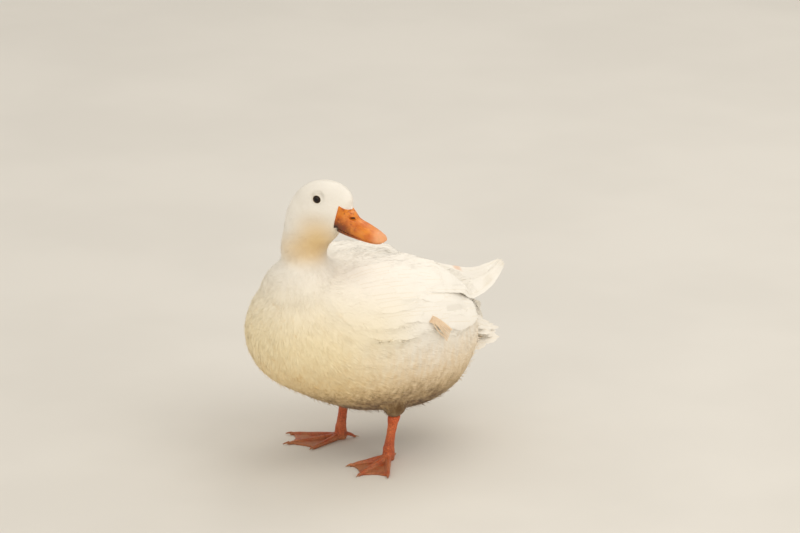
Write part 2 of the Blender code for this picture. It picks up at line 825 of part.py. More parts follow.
def make_wing(side, out, trunk, neck):
    """A folded wing lying on the trunk: a smooth arm under tiers of overlapping feathers."""
    rings = []
    for along in np.linspace(0, WING_CORE_END, WING_CORE_RINGS):
        outer = []
        inner = []
        for k in range(WING_CORE_SIDES + 1):
            share = k / WING_CORE_SIDES
            point, normal = wing_frame(along, share, out)
            outer.append(point)
            if 0 < k < WING_CORE_SIDES:
                inner.append(point - normal * (WING_EDGE + wing_bulge(along, share) + WING_CORE_DEPTH))
        rings.append(outer + inner[::-1])
    wing = loft("wing_" + side, rings)
    pieces = wing_tiers(out, random.Random(SEED + out))
    pieces += clipped_quills() if side == "L" else far_primaries(out)
    fuse(wing, pieces, FUSE_SOLVER)
    clear_of(wing, trunk, neck)


def tail_tier(tier, chance):
    """One fan of tail feathers or coverts."""
    count, spread, (half, y, z), long, short, width, fall, side_fall = tier
    vanes = []
    for k in range(count):
        place = 2 * k / (count - 1) - 1
        outer = place ** 2
        turn = math.radians(spread * place)
        reach = long + (short - long) * outer + chance.uniform(-3, 2)
        root = Vector((half * place, y, z - 3 * outer + 0.8 * (k % 2)))
        tip = root + Vector((math.sin(turn), math.cos(turn), 0)) * reach
        tip.z -= fall + (side_fall - fall) * outer + chance.uniform(-1, 1)
        face = Vector((TAIL_FACE.x * place, TAIL_FACE.y, TAIL_FACE.z)).normalized()
        path = []
        for step in range(4):
            share = step / 3
            path.append(root.lerp(tip, share) + face * TAIL_BOW * 4 * share * (1 - share))
        vanes.append(vane(path, [face] * 4, width, TAIL_BLUNT))
    return vanes


def make_tail(trunk):
    """The short worn tail: fans of vanes and coverts, and the curled feathers over them."""
    tail = loft("tail", [oval((0, y, z), (across, 0, 0), (0, 0, tall), 18) for y, z, across, tall in TAIL_CORE])
    chance = random.Random(SEED)
    pieces = []
    for tier in TAIL_TIERS:
        pieces += tail_tier(tier, chance)
    for points in CURLS:
        path = smooth_path(points, CURL_SECTIONS)
        faces = []
        for step in range(CURL_SECTIONS):
            onward = path[min(step + 1, CURL_SECTIONS - 1)] - path[max(step - 1, 0)]
            faces.append(Vector((1, 0, 0)).cross(onward).normalized())
        pieces.append(vane(path, faces, CURL_WIDTH, CURL_BLUNT))
    fuse(tail, pieces, FUSE_SOLVER)
    clear_of(tail, trunk)


def main():
    """Builds the whole duck."""
    for old in list(bpy.data.objects):
        bpy.data.objects.remove(old)
    trunk = loft("torso", [trunk_ring(row) for row in smooth_rows(TRUNK, TRUNK_RINGS)])
    head, neck = make_head_and_neck(trunk)
    make_bill(head)
    make_eyes(head)
    for side, out in (("L", 1), ("R", -1)):
        make_wing(side, out, trunk, neck)
        make_leg(side, out, trunk)
    make_tail(trunk)
    dress()


main()
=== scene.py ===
"""The looks of a life-size white farmyard duck, standing and looking back over its left shoulder.

The duck's body faces -Y, its left side is +X and +Z is up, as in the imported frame. One skin lies
under a coat of small feathers that follow its lie, the wings and the tail carry ribbed feathers
in rows, and the bill, the eyes, the lids, the legs and the claws are pieces of their own.

Sizes are in metres. Those given in millimetres say so, and places in millimetres start from the
point on the floor between the feet.
"""

import heapq
import logging
import math
from dataclasses import dataclass, field
from enum import Enum
from functools import partial

import bmesh
import bpy
import numpy as np
from mathutils import Matrix, Vector
from mathutils.bvhtree import BVHTree


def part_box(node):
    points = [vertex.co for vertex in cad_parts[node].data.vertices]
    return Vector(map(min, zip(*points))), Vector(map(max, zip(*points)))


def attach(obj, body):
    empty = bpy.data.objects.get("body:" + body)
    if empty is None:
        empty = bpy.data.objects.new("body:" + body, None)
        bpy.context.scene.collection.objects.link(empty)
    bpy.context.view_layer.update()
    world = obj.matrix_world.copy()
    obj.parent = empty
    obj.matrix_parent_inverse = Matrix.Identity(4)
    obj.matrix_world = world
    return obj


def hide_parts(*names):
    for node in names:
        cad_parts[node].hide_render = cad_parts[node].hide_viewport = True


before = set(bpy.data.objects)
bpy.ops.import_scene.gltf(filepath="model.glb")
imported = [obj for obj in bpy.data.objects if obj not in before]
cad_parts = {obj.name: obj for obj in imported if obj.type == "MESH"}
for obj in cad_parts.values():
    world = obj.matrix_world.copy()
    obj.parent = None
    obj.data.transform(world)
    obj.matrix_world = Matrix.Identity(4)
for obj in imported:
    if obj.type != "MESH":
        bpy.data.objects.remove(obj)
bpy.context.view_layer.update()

LOG = logging.getLogger("duck")
MM = 0.001
BODY = "root"
# The nodes of flesh, which the skin stands for.
FLESH = ("torso", "neck", "head", "thigh_L", "thigh_R", "wing_L", "wing_R", "tail")
BAKE_MAP = "OFBake"
VANE_MAP = "Vane"
# The eyes' place on the head, forward and up from the gape in millimetres.
EYE_PLACE = (-20, 33.5)
# How wide a feather's patch is on the baking map.
BAKE_PATCH = 0.003
# The point between the feet.
STAND = Vector((0, -33.3 * MM, 0))

Arrays = tuple[np.ndarray, np.ndarray]
Pair = tuple[float, float]
Pairs = tuple[Pair, ...]
Triple = tuple[float, float, float]
Piece = bpy.types.Object
Shape = bmesh.types.BMesh
Material = bpy.types.Material
Tree = bpy.types.NodeTree
Node = bpy.types.Node
Colour = tuple[float, float, float, float]
Socket = bpy.types.NodeSocket
# A place on the skin, the way out there and its face.
SkinPlace = tuple[Vector, Vector, int]


class Side(Enum):
    """The two sides of the bird; the value is the sign of X there."""

    LEFT = 1
    RIGHT = -1

    @property
    def letter(self) -> str:
        """The letter that ends the names of this side's nodes."""
        return "L" if self is Side.LEFT else "R"


class Slot(Enum):
    """Names of material slots."""

    PLUMAGE = "plumage"
    BILL = "bill"
    LEG = "leg_skin"
    EYE = "eye"
    CLAW = "claw"


def standing(x: float, y: float, z: float) -> Vector:
    """A point given in millimetres from the middle between the feet."""
    return Vector((x, y, z)) * MM + STAND


def unit(vectors: np.ndarray) -> np.ndarray:
    """The vectors made one long."""
    return vectors / np.maximum(np.linalg.norm(vectors, axis=-1, keepdims=True), 1e-12)


def limited(value: float, low: float = 0.0, high: float = 1.0) -> float:
    """A value kept between two limits."""
    return min(max(value, low), high)


def crossed(corners: np.ndarray) -> np.ndarray:
    """The cross product of two sides of each triangle, from its corners."""
    return np.cross(corners[:, 1] - corners[:, 0], corners[:, 2] - corners[:, 0])


def blended(shares: np.ndarray, values: np.ndarray) -> np.ndarray:
    """The values of each triangle's corners, mixed by the corners' shares."""
    return np.einsum("nk,nkd->nd", shares, values)


def waves(places: np.ndarray, size: float, seed: int) -> np.ndarray:
    """A smooth random value from about -1 to 1 at each place.

    Args:
        places: Points, as (count, 3).
        size: How far apart its swells lie.
        seed: What its chances start from.

    Returns:
        A value for each point.
    """
    chance = np.random.default_rng(seed)
    ways = unit(chance.normal(size=(9, 3))) * chance.uniform(0.7, 1.5, (9, 1)) * math.tau / size
    return np.sin(places @ ways.T + chance.uniform(0, math.tau, 9)).sum(1) / 3.2


def curve(points: list[Vector], count: int) -> list[Vector]:
    """Points along a smooth curve.

    Args:
        points: What the curve passes through, in order.
        count: How many points to give, ends included.

    Returns:
        Points of a Catmull-Rom curve.
    """
    padded = [points[0] * 2 - points[1], *points, points[-1] * 2 - points[-2]]
    found = []
    for place in np.linspace(0, len(points) - 1, count):
        step = min(int(place), len(points) - 2)
        t = float(place) - step
        a, b, c, d = padded[step:step + 4]
        bend = (2 * a - 5 * b + 4 * c - d) * t ** 2 + (3 * b - a - 3 * c + d) * t ** 3
        found.append(0.5 * (2 * b + (c - a) * t + bend))
    return found


def evaluated(piece: Piece) -> bpy.types.Mesh:
    """A new mesh of a piece with its modifiers applied."""
    graph = bpy.context.evaluated_depsgraph_get()
    return bpy.data.meshes.new_from_object(piece.evaluated_get(graph))


def linked(name: str, data: bpy.types.ID) -> Piece:
    """Adds an object to the scene, at the origin.

    Args:
        name: Its name.
        data: The mesh, camera or light that it shows.

    Returns:
        The object.
    """
    thing = bpy.data.objects.new(name, data)
    bpy.context.scene.collection.objects.link(thing)
    return thing


def piece_of(bm: Shape, name: str, right: bool = True) -> Piece:
    """A smooth piece of the scene from a bmesh, which is freed.

    Args:
        bm: The shape, in metres.
        name: The piece's name.
        right: Whether to turn the faces to point outwards.

    Returns:
        The linked object.
    """
    if right:
        bmesh.ops.recalc_face_normals(bm, faces=bm.faces)
    mesh = bpy.data.meshes.new(name)
    bm.to_mesh(mesh)
    bm.free()
    mesh.shade_smooth()
    return linked(name, mesh)


def cut_off(bm: Shape, place: Vector, way: Vector) -> None:
    """Cuts off what lies beyond a plane, and closes the cut.

    Args:
        bm: The shape.
        place: A place on the plane.
        way: The way out of it, to what goes.
    """
    geometry = [*bm.verts, *bm.edges, *bm.faces]
    bmesh.ops.bisect_plane(bm, geom=geometry, dist=1e-6, plane_co=place, plane_no=way, clear_outer=True)
    bmesh.ops.holes_fill(bm, edges=[e for e in bm.edges if e.is_boundary], sides=0)


def smooth(bm: Shape, verts: list[bmesh.types.BMVert], rounds: int) -> None:
    """Moves points halfway to the middle of their neighbours, again and again.

    Args:
        bm: The shape.
        verts: The points that move.
        rounds: How often they do.
    """
    for _ in range(rounds):
        bmesh.ops.smooth_vert(
            bm, verts=verts, factor=0.5, use_axis_x=True, use_axis_y=True, use_axis_z=True,
        )


def add_shape(bm: Shape, shape: Shape) -> None:
    """Adds a shape to another one.

    Args:
        bm: Where it goes.
        shape: What is added, and freed.
    """
    mesh = bpy.data.meshes.new("copy")
    shape.to_mesh(mesh)
    shape.free()
    bm.from_mesh(mesh)
    bpy.data.meshes.remove(mesh)


def add_node(bm: Shape, node: str, *cuts: tuple[Vector, Vector]) -> None:
    """Adds a merged copy of a CAD node to a bmesh.

    Args:
        bm: Where the copy goes.
        node: The node's name.
        *cuts: Planes beyond which the copy is cut off, each as a place on it and the way out.
    """
    copy = bmesh.new()
    copy.from_mesh(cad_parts[node].data)
    bmesh.ops.remove_doubles(copy, verts=copy.verts, dist=1e-5)
    for place, way in cuts:
        cut_off(copy, place, way)
    add_shape(bm, copy)


def remeshed(bm: Shape, voxel: float, rounds: int) -> Shape:
    """One even skin round closed shapes, smoothed.

    Args:
        bm: The shapes, which are freed.
        voxel: The size of the new faces.
        rounds: How often the skin is smoothed.

    Returns:
        The new skin.
    """
    rough = piece_of(bm, "rough", right=False)
    wrap = rough.modifiers.new("wrap", "REMESH")
    wrap.mode = "VOXEL"
    wrap.voxel_size = voxel
    mesh = evaluated(rough)
    bpy.data.objects.remove(rough)
    skin = bmesh.new()
    skin.from_mesh(mesh)
    bpy.data.meshes.remove(mesh)
    smooth(skin, list(skin.verts), rounds)
    skin.normal_update()
    return skin


class Graph:
    """Adds shader nodes to a tree and joins them."""

    def __init__(self, tree: Tree) -> None:
        """Starts on a tree."""
        self.tree = tree

    def add(self, kind: str, settings: dict | None = None, **inputs: object) -> Node:
        """Adds a node.

        Args:
            kind: The node's type, without its leading ShaderNode.
            settings: The node's own properties.
            **inputs: Values or sockets for its inputs, by name with _ for a space.

        Returns:
            The node.
        """
        node = self.tree.nodes.new("ShaderNode" + kind)
        for name, value in (settings or {}).items():
            setattr(node, name, value)
        self.fill(node, **inputs)
        return node

    def fill(self, node: Node, **inputs: object) -> None:
        """Sets or links a node's inputs, which are named with _ for a space."""
        for name, value in inputs.items():
            self.put(node.inputs[name.replace("_", " ")], value)

    def put(self, socket: Socket, value: object) -> None:
        """Links a socket to another, or sets its value.

        Args:
            socket: The input.
            value: What it reads.
        """
        if isinstance(value, Socket):
            self.tree.links.new(value, socket)
        else:
            socket.default_value = value

    def math(self, operation: str, *values: object) -> Socket:
        """The result of a math node.

        Args:
            operation: What it does.
            *values: What it reads, in order.

        Returns:
            Its output.
        """
        node = self.add("Math", {"operation": operation})
        for socket, value in zip(node.inputs, values):
            self.put(socket, value)
        return node.outputs[0]

    def times(self, first: object, *others: object) -> Socket:
        """The product of values.

        Args:
            first: The first one.
            *others: Those that it is multiplied by.

        Returns:
            The last product.
        """
        for other in others:
            first = self.math("MULTIPLY", first, other)
        return first

    def ramp(self, value: object, low: float, high: float, to: Pair = (0.0, 1.0)) -> Socket:
        """A value eased from one range to another.

        Args:
            value: What is read.
            low: Where the first result is reached.
            high: Where the second result is reached.
            to: The two results.

        Returns:
            The eased value.
        """
        node = self.add("MapRange", {"interpolation_type": "SMOOTHSTEP"})
        self.fill(node, Value=value, From_Min=low, From_Max=high, To_Min=to[0], To_Max=to[1])
        return node.outputs[0]

    def mix(self, factor: object, first: object, second: object) -> Socket:
        """A colour between two.

        Args:
            factor: The second one's share.
            first: The first colour.
            second: The second colour.

        Returns:
            The mixed colour.
        """
        node = self.add("Mix", {"data_type": "RGBA"})
        # The node has a set of inputs for each kind of data, and those of colours come last.
        for index, value in ((0, factor), (6, first), (7, second)):
            self.put(node.inputs[index], value)
        return node.outputs[2]

    def noise(self, place: object, scale: float, detail: float = 2.0, roughness: float = 0.5) -> Socket:
        """A noise from 0 to 1 over a place.

        Args:
            place: The place.
            scale: How fine it is.
            detail: How many finer noises lie over it.
            roughness: How strong those are.

        Returns:
            The noise.
        """
        return self.add(
            "TexNoise", None, Vector=place, Scale=scale, Detail=detail, Roughness=roughness,
        ).outputs[0]

    def away(self, place: object, point: Vector, stretch: Triple = (1, 1, 1)) -> Socket:
        """How far a place is from a point.

        Args:
            place: The place.
            point: The point.
            stretch: How much the way along each axis counts.

        Returns:
            The distance.
        """
        scaled = self.add("VectorMath", {"operation": "MULTIPLY"})
        self.put(scaled.inputs[0], place)
        scaled.inputs[1].default_value = stretch
        distance = self.add("VectorMath", {"operation": "DISTANCE"})
        self.put(distance.inputs[0], scaled.outputs[0])
        distance.inputs[1].default_value = point * Vector(stretch)
        return distance.outputs["Value"]

    def bump(self, height: object, strength: float, distance: float) -> Socket:
        """A normal that follows a height."""
        return self.add("Bump", None, Strength=strength, Distance=distance, Height=height).outputs[0]


def colour(red: int, green: int, blue: int) -> Colour:
    """A linear colour from the screen values of a paint swatch.

    Args:
        red: Its red, up to 255.
        green: Its green.
        blue: Its blue.

    Returns:
        The colour, with an alpha of 1.
    """
    def straight(value: int) -> float:
        """One channel made linear."""
        share = value / 255
        return share / 12.92 if share <= 0.04045 else ((share + 0.055) / 1.055) ** 2.4

    return straight(red), straight(green), straight(blue), 1.0


def new_group(name: str, inputs: dict[str, str], outputs: dict[str, str]) -> tuple[Graph, Node, Node]:
    """An empty shader node group.

    Args:
        name: The group's name.
        inputs: The kind of each input socket, such as Color, by name.
        outputs: The kind of each output socket, by name.

    Returns:
        Its graph, its input node and its output node.
    """
    tree = bpy.data.node_groups.new(name, "ShaderNodeTree")
    for names, way in ((inputs, "INPUT"), (outputs, "OUTPUT")):
        for socket, kind in names.items():
            tree.interface.new_socket(name=socket, in_out=way, socket_type="NodeSocket" + kind)
    return Graph(tree), tree.nodes.new("NodeGroupInput"), tree.nodes.new("NodeGroupOutput")


def new_material(name: str) -> tuple[Material, Graph, Node, Socket]:
    """A new material.

    Args:
        name: Its name.

    Returns:
        The material, its graph, its Principled shader and the place on the object.
    """
    material = bpy.data.materials.new(name)
    material.use_nodes = True
    graph = Graph(material.node_tree)
    place = graph.add("TexCoord").outputs["Object"]
    return material, graph, material.node_tree.nodes["Principled BSDF"], place


def marks_and_painted_light_group() -> Tree:
    """Marks that skin and coat share: cream breast and neck, dirty belly, stains, and painted shade and
    painted reflected light.

    Returns:
        A group that puts out the colour at a place on the bird.
    """
    graph, given, out = new_group(
        "plumage marks and painted light",
        {"White": "Color", "Cream": "Color", "Straw": "Color", "Soil": "Color", "Soiling": "Float"},
        {"Color": "Color"},
    )
    paint = given.outputs
    place = graph.add("TexCoord").outputs["Object"]
    axes = graph.add("SeparateXYZ", None, Vector=place).outputs
    broad = graph.noise(place, 14.0, 3.0)
    patchy = graph.noise(place, 55.0, 4.0, 0.6)
    stretched = graph.add("Mapping", None, Vector=place, Scale=(60.0, 60.0, 14.0)).outputs[0]
    streaks = graph.noise(stretched, 3.0, 3.0, 0.6)

    # The breast is cream, most of all in front and low down.
    front = graph.ramp(graph.math("ADD", axes["Y"], graph.times(broad, 0.08)), 0.04, -0.12)
    breast = graph.times(front, graph.ramp(axes["Z"], 0.27, 0.16))
    shade = graph.mix(graph.times(breast, 0.85), paint["White"], paint["Cream"])
    # The throat and the neck's foot take the warmest straw tint, partly their own colour and partly painted
    # shade and painted reflected light.
    near_throat = graph.away(place, standing(24, -108, 280), (1.0, 1.0, 2.2))
    throat = graph.ramp(graph.math("ADD", near_throat, graph.times(broad, 0.02)), 0.074, 0.016)
    shade = graph.mix(graph.times(throat, 0.6), shade, paint["Straw"])
    # Painted shade under the cheek, laid on in the straw tint.
    cheek = graph.ramp(graph.away(place, standing(28, -95, 298)), 0.040, 0.0, (0.0, 0.78))
    shade = graph.mix(cheek, shade, paint["Straw"])
    # The low body takes a straw tint in streaks that run up from below, partly dirt and partly painted warm
    # light reflected from the ground.
    height = graph.math("ADD", axes["Z"], graph.times(graph.math("SUBTRACT", streaks, 0.5), 0.06))
    straw = graph.times(graph.ramp(height, 0.175, 0.07), paint["Soiling"], 0.8)
    shade = graph.mix(straw, shade, paint["Straw"])
    # Lower still the belly darkens, partly with dirt and partly with painted shade underneath, less towards
    # the tail.
    low = graph.times(graph.ramp(height, 0.116, 0.062), graph.ramp(axes["Y"], 0.10, 0.0, (0.45, 1.0)))
    soil_and_shade_share = graph.times(low, paint["Soiling"], graph.ramp(patchy, 0.3, 0.62, (0.55, 1.0)))
    shade = graph.mix(soil_and_shade_share, shade, paint["Soil"])
    # Faint stains where the breast has touched the ground.
    spot = graph.times(
        graph.ramp(patchy, 0.58, 0.70, (0.0, 0.42)),
        graph.ramp(axes["Y"], -0.10, -0.17),
        graph.ramp(axes["Z"], 0.24, 0.19),
    )
    shade = graph.mix(spot, shade, paint["Straw"])
    # Bare skin shows through the worn feathers over the rump.
    bald = graph.ramp(graph.away(place, standing(12, 127, 208)), 0.016, 0.006, (0.0, 0.7))
    graph.put(out.inputs["Color"], graph.mix(bald, shade, colour(236, 196, 166)))
    return graph.tree


def barbs_group() -> Tree:
    """The barbs of a ribbed feather, from a map that runs across and along it.

    Returns:
        A group that puts out the barbs' height and how near a place is to the rib.
    """
    graph, given, out = new_group("feather barbs", {"Count": "Float"}, {"Height": "Float", "Rib": "Float"})
    vane = graph.add("UVMap", {"uv_map": VANE_MAP}).outputs["UV"]
    axes = graph.add("SeparateXYZ", None, Vector=vane).outputs
    across = graph.math("ABSOLUTE", graph.math("SUBTRACT", axes["X"], 0.5))
    slant = graph.math("SUBTRACT", axes["Y"], graph.times(across, 0.28))
    wave = graph.math("SINE", graph.times(slant, given.outputs["Count"]))
    graph.put(out.inputs["Height"], graph.math("MULTIPLY_ADD", wave, 0.5, 0.5))
    graph.put(out.inputs["Rib"], graph.ramp(across, 0.05, 0.015))
    return graph.tree


@dataclass(frozen=True)
class PlumageFinish:
    """Feathers: white, with the bird's markings, painted shade and painted reflected light.

    Args:
        name: The material's name.
        dirt_and_painted_light: How much of the low body's dirt, painted shade and painted reflected light it
            takes.
        barbs: How many barbs a feather has, or 0 for none.
        sheen: How much the feathers' edges glow.
        white: The clean feathers' colour.
        cream: The breast's colour.
        straw: The straw tint of throat, low body and stains, also laid on as painted shade under the cheek
            and painted reflected light low down.
        soil_and_shade: The belly's dark brown, partly dirt and partly painted shade underneath.
        speck: The colour of fine specks.
        rib: The feathers' ribs.
    """

    name: str
    dirt_and_painted_light: float = 1.0
    barbs: float = 0.0
    sheen: float = 0.12
    white: Colour = colour(243, 238, 228)
    cream: Colour = colour(244, 227, 182)
    straw: Colour = colour(226, 190, 122)
    soil_and_shade: Colour = colour(106, 74, 36)
    speck: Colour = colour(220, 200, 164)
    rib: Colour = colour(226, 210, 176)

    def build(self, marks: Tree, barbs: Tree) -> Material:
        """Makes the material.

        Args:
            marks: The group of the markings and the painted shade and light.
            barbs: The group of the barbs.

        Returns:
            The material.
        """
        material, graph, shader, place = new_material(self.name)
        marks_and_painted_light = graph.add(
            "Group", {"node_tree": marks},
            White=self.white, Cream=self.cream, Straw=self.straw, Soil=self.soil_and_shade, Soiling=self.dirt_and_painted_light,
        )
        height = graph.noise(place, 420.0, 3.0, 0.65)
        shade = graph.mix(graph.ramp(height, 0.3, 0.75, (0.06, 0.0)), marks_and_painted_light.outputs["Color"], self.speck)
        if self.barbs:
            vane = graph.add("Group", {"node_tree": barbs}, Count=self.barbs)
            shade = graph.mix(graph.times(vane.outputs["Rib"], 0.22), shade, self.rib)
            height = vane.outputs["Height"]
        graph.fill(
            shader, Base_Color=shade, Roughness=0.82, Specular_IOR_Level=0.22, Sheen_Weight=self.sheen,
            Sheen_Roughness=0.6, Normal=graph.bump(height, 0.15, 0.0002),
        )
        return material


@dataclass(frozen=True)
class BillFinish:
    """Orange horn, darker and speckled towards the mouth, paler at the nail.

    Args:
        head: The head's frame.
        horn: The horn's colour.
        deep: Its colour in deeper patches.
        tip: The pinkish tip and nail.
        edge: The mouth's edges.
        stain: The stains towards the gape.
        dot: The small dots.
        gape: The mouth's corners.
        nostril: The inside of the nostrils, painted dark as shade.
        hole: A nostril's middle in metres: forward of the gape, out from the middle and up.
        name: The material's name.
    """

    head: "HeadFrame"
    horn: Colour = colour(228, 137, 40)
    deep: Colour = colour(208, 107, 24)
    tip: Colour = colour(233, 168, 118)
    edge: Colour = colour(150, 74, 26)
    stain: Colour = colour(92, 44, 18)
    dot: Colour = colour(140, 56, 18)
    gape: Colour = colour(58, 30, 16)
    nostril: Colour = colour(50, 24, 14)
    hole: Triple = (0.021, 0.0075, 0.0120)
    name: str = "bill horn"

    def build(self) -> Material:
        """Makes the material.

        Returns:
            The material.
        """
        material, graph, shader, place = new_material(self.name)
        # Turned so that X runs forward along the bill, Y out of its left side and Z up.
        turned = graph.add("Mapping", {"vector_type": "TEXTURE"}, Vector=place)
        turned.inputs["Location"].default_value = self.head.point(0, 0)
        turned.inputs["Rotation"].default_value = self.head.matrix().to_euler()
        local = turned.outputs[0]
        axes = graph.add("SeparateXYZ", None, Vector=local).outputs
        forward = axes["X"]
        patchy = graph.noise(local, 90.0, 4.0, 0.6)
        blotches = graph.noise(local, 190.0, 5.0, 0.7)
        specks = graph.noise(local, 520.0, 4.0, 0.7)
        shade = graph.mix(graph.ramp(patchy, 0.35, 0.7), self.horn, self.deep)
        # The tip is paler, with a pinkish nail.
        shade = graph.mix(graph.times(graph.ramp(forward, 0.043, 0.057), 0.8), shade, self.tip)
        # The mouth's edges are darker, most of all towards the gape.
        line = graph.math("ADD", axes["Z"], graph.times(forward, 0.30))
        shade = graph.mix(graph.times(graph.ramp(line, 0.006, -0.004), 0.55), shade, self.edge)
        rear = graph.times(graph.ramp(forward, 0.034, 0.008), graph.ramp(line, 0.017, 0.002))
        stained = graph.times(rear, graph.ramp(blotches, 0.30, 0.52), 0.9)
        shade = graph.mix(stained, shade, self.stain)
        wide = graph.times(graph.ramp(forward, 0.048, 0.020), graph.ramp(blotches, 0.51, 0.61))
        shade = graph.mix(graph.times(wide, graph.ramp(specks, 0.42, 0.58), 0.75), shade, self.dot)
        corner = graph.times(graph.ramp(forward, 0.008, 0.001), graph.ramp(line, 0.005, 0.001))
        shade = graph.mix(corner, shade, self.gape)
        # The insides of the nostrils are painted shade.
        for side in (1, -1):
            middle = Vector((self.hole[0], side * self.hole[1], self.hole[2]))
            inside = graph.ramp(graph.away(local, middle, (1.0, 0.6, 1.9)), 0.0034, 0.0022)
            shade = graph.mix(inside, shade, self.nostril)
        graph.fill(
            shader, Base_Color=shade, Roughness=graph.ramp(patchy, 0.3, 0.8, (0.34, 0.5)),
            Specular_IOR_Level=0.45, Subsurface_Weight=0.12, Subsurface_Radius=(0.003, 0.0012, 0.0006),
            Subsurface_Scale=1.0, Normal=graph.bump(graph.noise(local, 700.0, 3.0, 0.6), 0.3, 0.0003),
        )
        return material


@dataclass(frozen=True)
class LegFinish:
    """Scaly orange-red skin, brighter at the hock and dusty at the toes.

    Args:
        toes: The colour at the toes.
        hock: The colour at the hock.
        patch: The colour of paler patches.
        seam: The colour between the scales.
        dust: The dust's colour.
        name: The material's name.
    """

    toes: Colour = colour(182, 84, 42)
    hock: Colour = colour(214, 92, 42)
    patch: Colour = colour(226, 132, 78)
    seam: Colour = colour(120, 48, 22)
    dust: Colour = colour(150, 118, 84)
    name: str = "leg skin"

    def build(self) -> Material:
        """Makes the material.

        Returns:
            The material.
        """
        material, graph, shader, place = new_material(self.name)
        height = graph.add("SeparateXYZ", None, Vector=place).outputs["Z"]
        cells = graph.add("TexVoronoi", {"feature": "DISTANCE_TO_EDGE"}, Vector=place, Scale=360.0)
        scale = graph.ramp(cells.outputs["Distance"], 0.0, 0.16)
        patchy = graph.noise(place, 70.0, 4.0, 0.6)
        shade = graph.mix(graph.ramp(height, 0.015, 0.06), self.toes, self.hock)
        shade = graph.mix(graph.ramp(patchy, 0.35, 0.75, (0.0, 0.6)), shade, self.patch)
        shade = graph.mix(graph.ramp(scale, 0.0, 1.0, (0.55, 0.0)), shade, self.seam)
        dusty = graph.times(graph.ramp(height, 0.012, 0.001), graph.ramp(patchy, 0.3, 0.6, (0.1, 0.5)))
        graph.fill(
            shader, Base_Color=graph.mix(dusty, shade, self.dust), Specular_IOR_Level=0.4,
            Roughness=graph.ramp(patchy, 0.3, 0.8, (0.42, 0.6)), Normal=graph.bump(scale, 0.5, 0.0004),
        )
        return material


@dataclass(frozen=True)
class PlainFinish:
    """A finish of two close colours in fine patches.

    Args:
        name: The material's name.
        one: The first colour.
        other: The second colour.
        scale: How fine the patches are.
        roughness: The shader's roughness.
        ease: The noise's range over which the first colour turns into the second, if it is narrowed.
    """

    name: str
    one: Colour
    other: Colour
    scale: float
    roughness: float
    ease: Pair | None = (0.35, 0.65)

    def build(self) -> Material:
        """Makes the material.

        Returns:
            The material.
        """
        material, graph, shader, place = new_material(self.name)
        patchy = graph.noise(place, self.scale, 3.0)
        if self.ease:
            patchy = graph.ramp(patchy, *self.ease)
        graph.fill(shader, Base_Color=graph.mix(patchy, self.one, self.other), Roughness=self.roughness)
        return material


@dataclass(frozen=True)
class EyeFinish:
    """A wet eye: black pupil in a very dark brown iris.

    Args:
        name: The material's name.
        front: The middle of the pupil.
        pupil: The pupil's colour.
        iris: The iris's two colours.
        edge: The pupil's radius, where it starts to turn into the iris and where it has.
    """

    name: str
    front: Vector
    pupil: Colour = colour(4, 4, 5)
    iris: tuple[Colour, Colour] = (colour(24, 14, 9), colour(46, 28, 17))
    edge: Pair = (0.0019, 0.0023)

    def build(self) -> Material:
        """Makes the material.

        Returns:
            The material.
        """
        material, graph, shader, place = new_material(self.name)
        outside = graph.ramp(graph.away(place, self.front), *self.edge)
        iris = graph.mix(graph.noise(place, 1500.0, 3.0, 0.7), *self.iris)
        graph.fill(
            shader, Base_Color=graph.mix(outside, self.pupil, iris), Roughness=0.2,
            Specular_IOR_Level=0.12, Coat_Weight=0.3, Coat_Roughness=0.02,
        )
        return material


@dataclass(frozen=True)
class HeadFrame:
    """The head's own measures: forward along the bill, up, and out of its right side.

    Args:
        gape: The middle of the mouth's corners, in millimetres.
        turn: How far the head is turned from straight ahead.
        nod: How far it is raised.
    """

    gape: Triple = (41, -72, 311)
    turn: float = math.radians(117)
    nod: float = math.radians(1)

    def axes(self) -> tuple[Vector, Vector, Vector]:
        """The head's own directions.

        Returns:
            The unit vectors forward, up and out of the right side.
        """
        level = Vector((math.sin(self.turn), -math.cos(self.turn), 0))
        side = Vector((-math.cos(self.turn), -math.sin(self.turn), 0))
        forward = Matrix.Rotation(-self.nod, 3, side) @ level
        return forward, side.cross(forward), side

    def point(self, forward: float, up: float, side: float = 0.0) -> Vector:
        """A point given in millimetres in the head's frame."""
        along, above, out = self.axes()
        return standing(*self.gape) + (along * forward + above * up + out * side) * MM

    def measure(self, points: np.ndarray) -> np.ndarray:
        """How far forward, up and out of the right side points are, in millimetres."""
        return (points - np.array(self.point(0, 0))) @ np.array(self.axes()).T / MM

    def matrix(self) -> Matrix:
        """The turn whose X is forward, Y out of the left side and Z up."""
        along, above, out = self.axes()
        return Matrix((along, -out, above)).transposed()


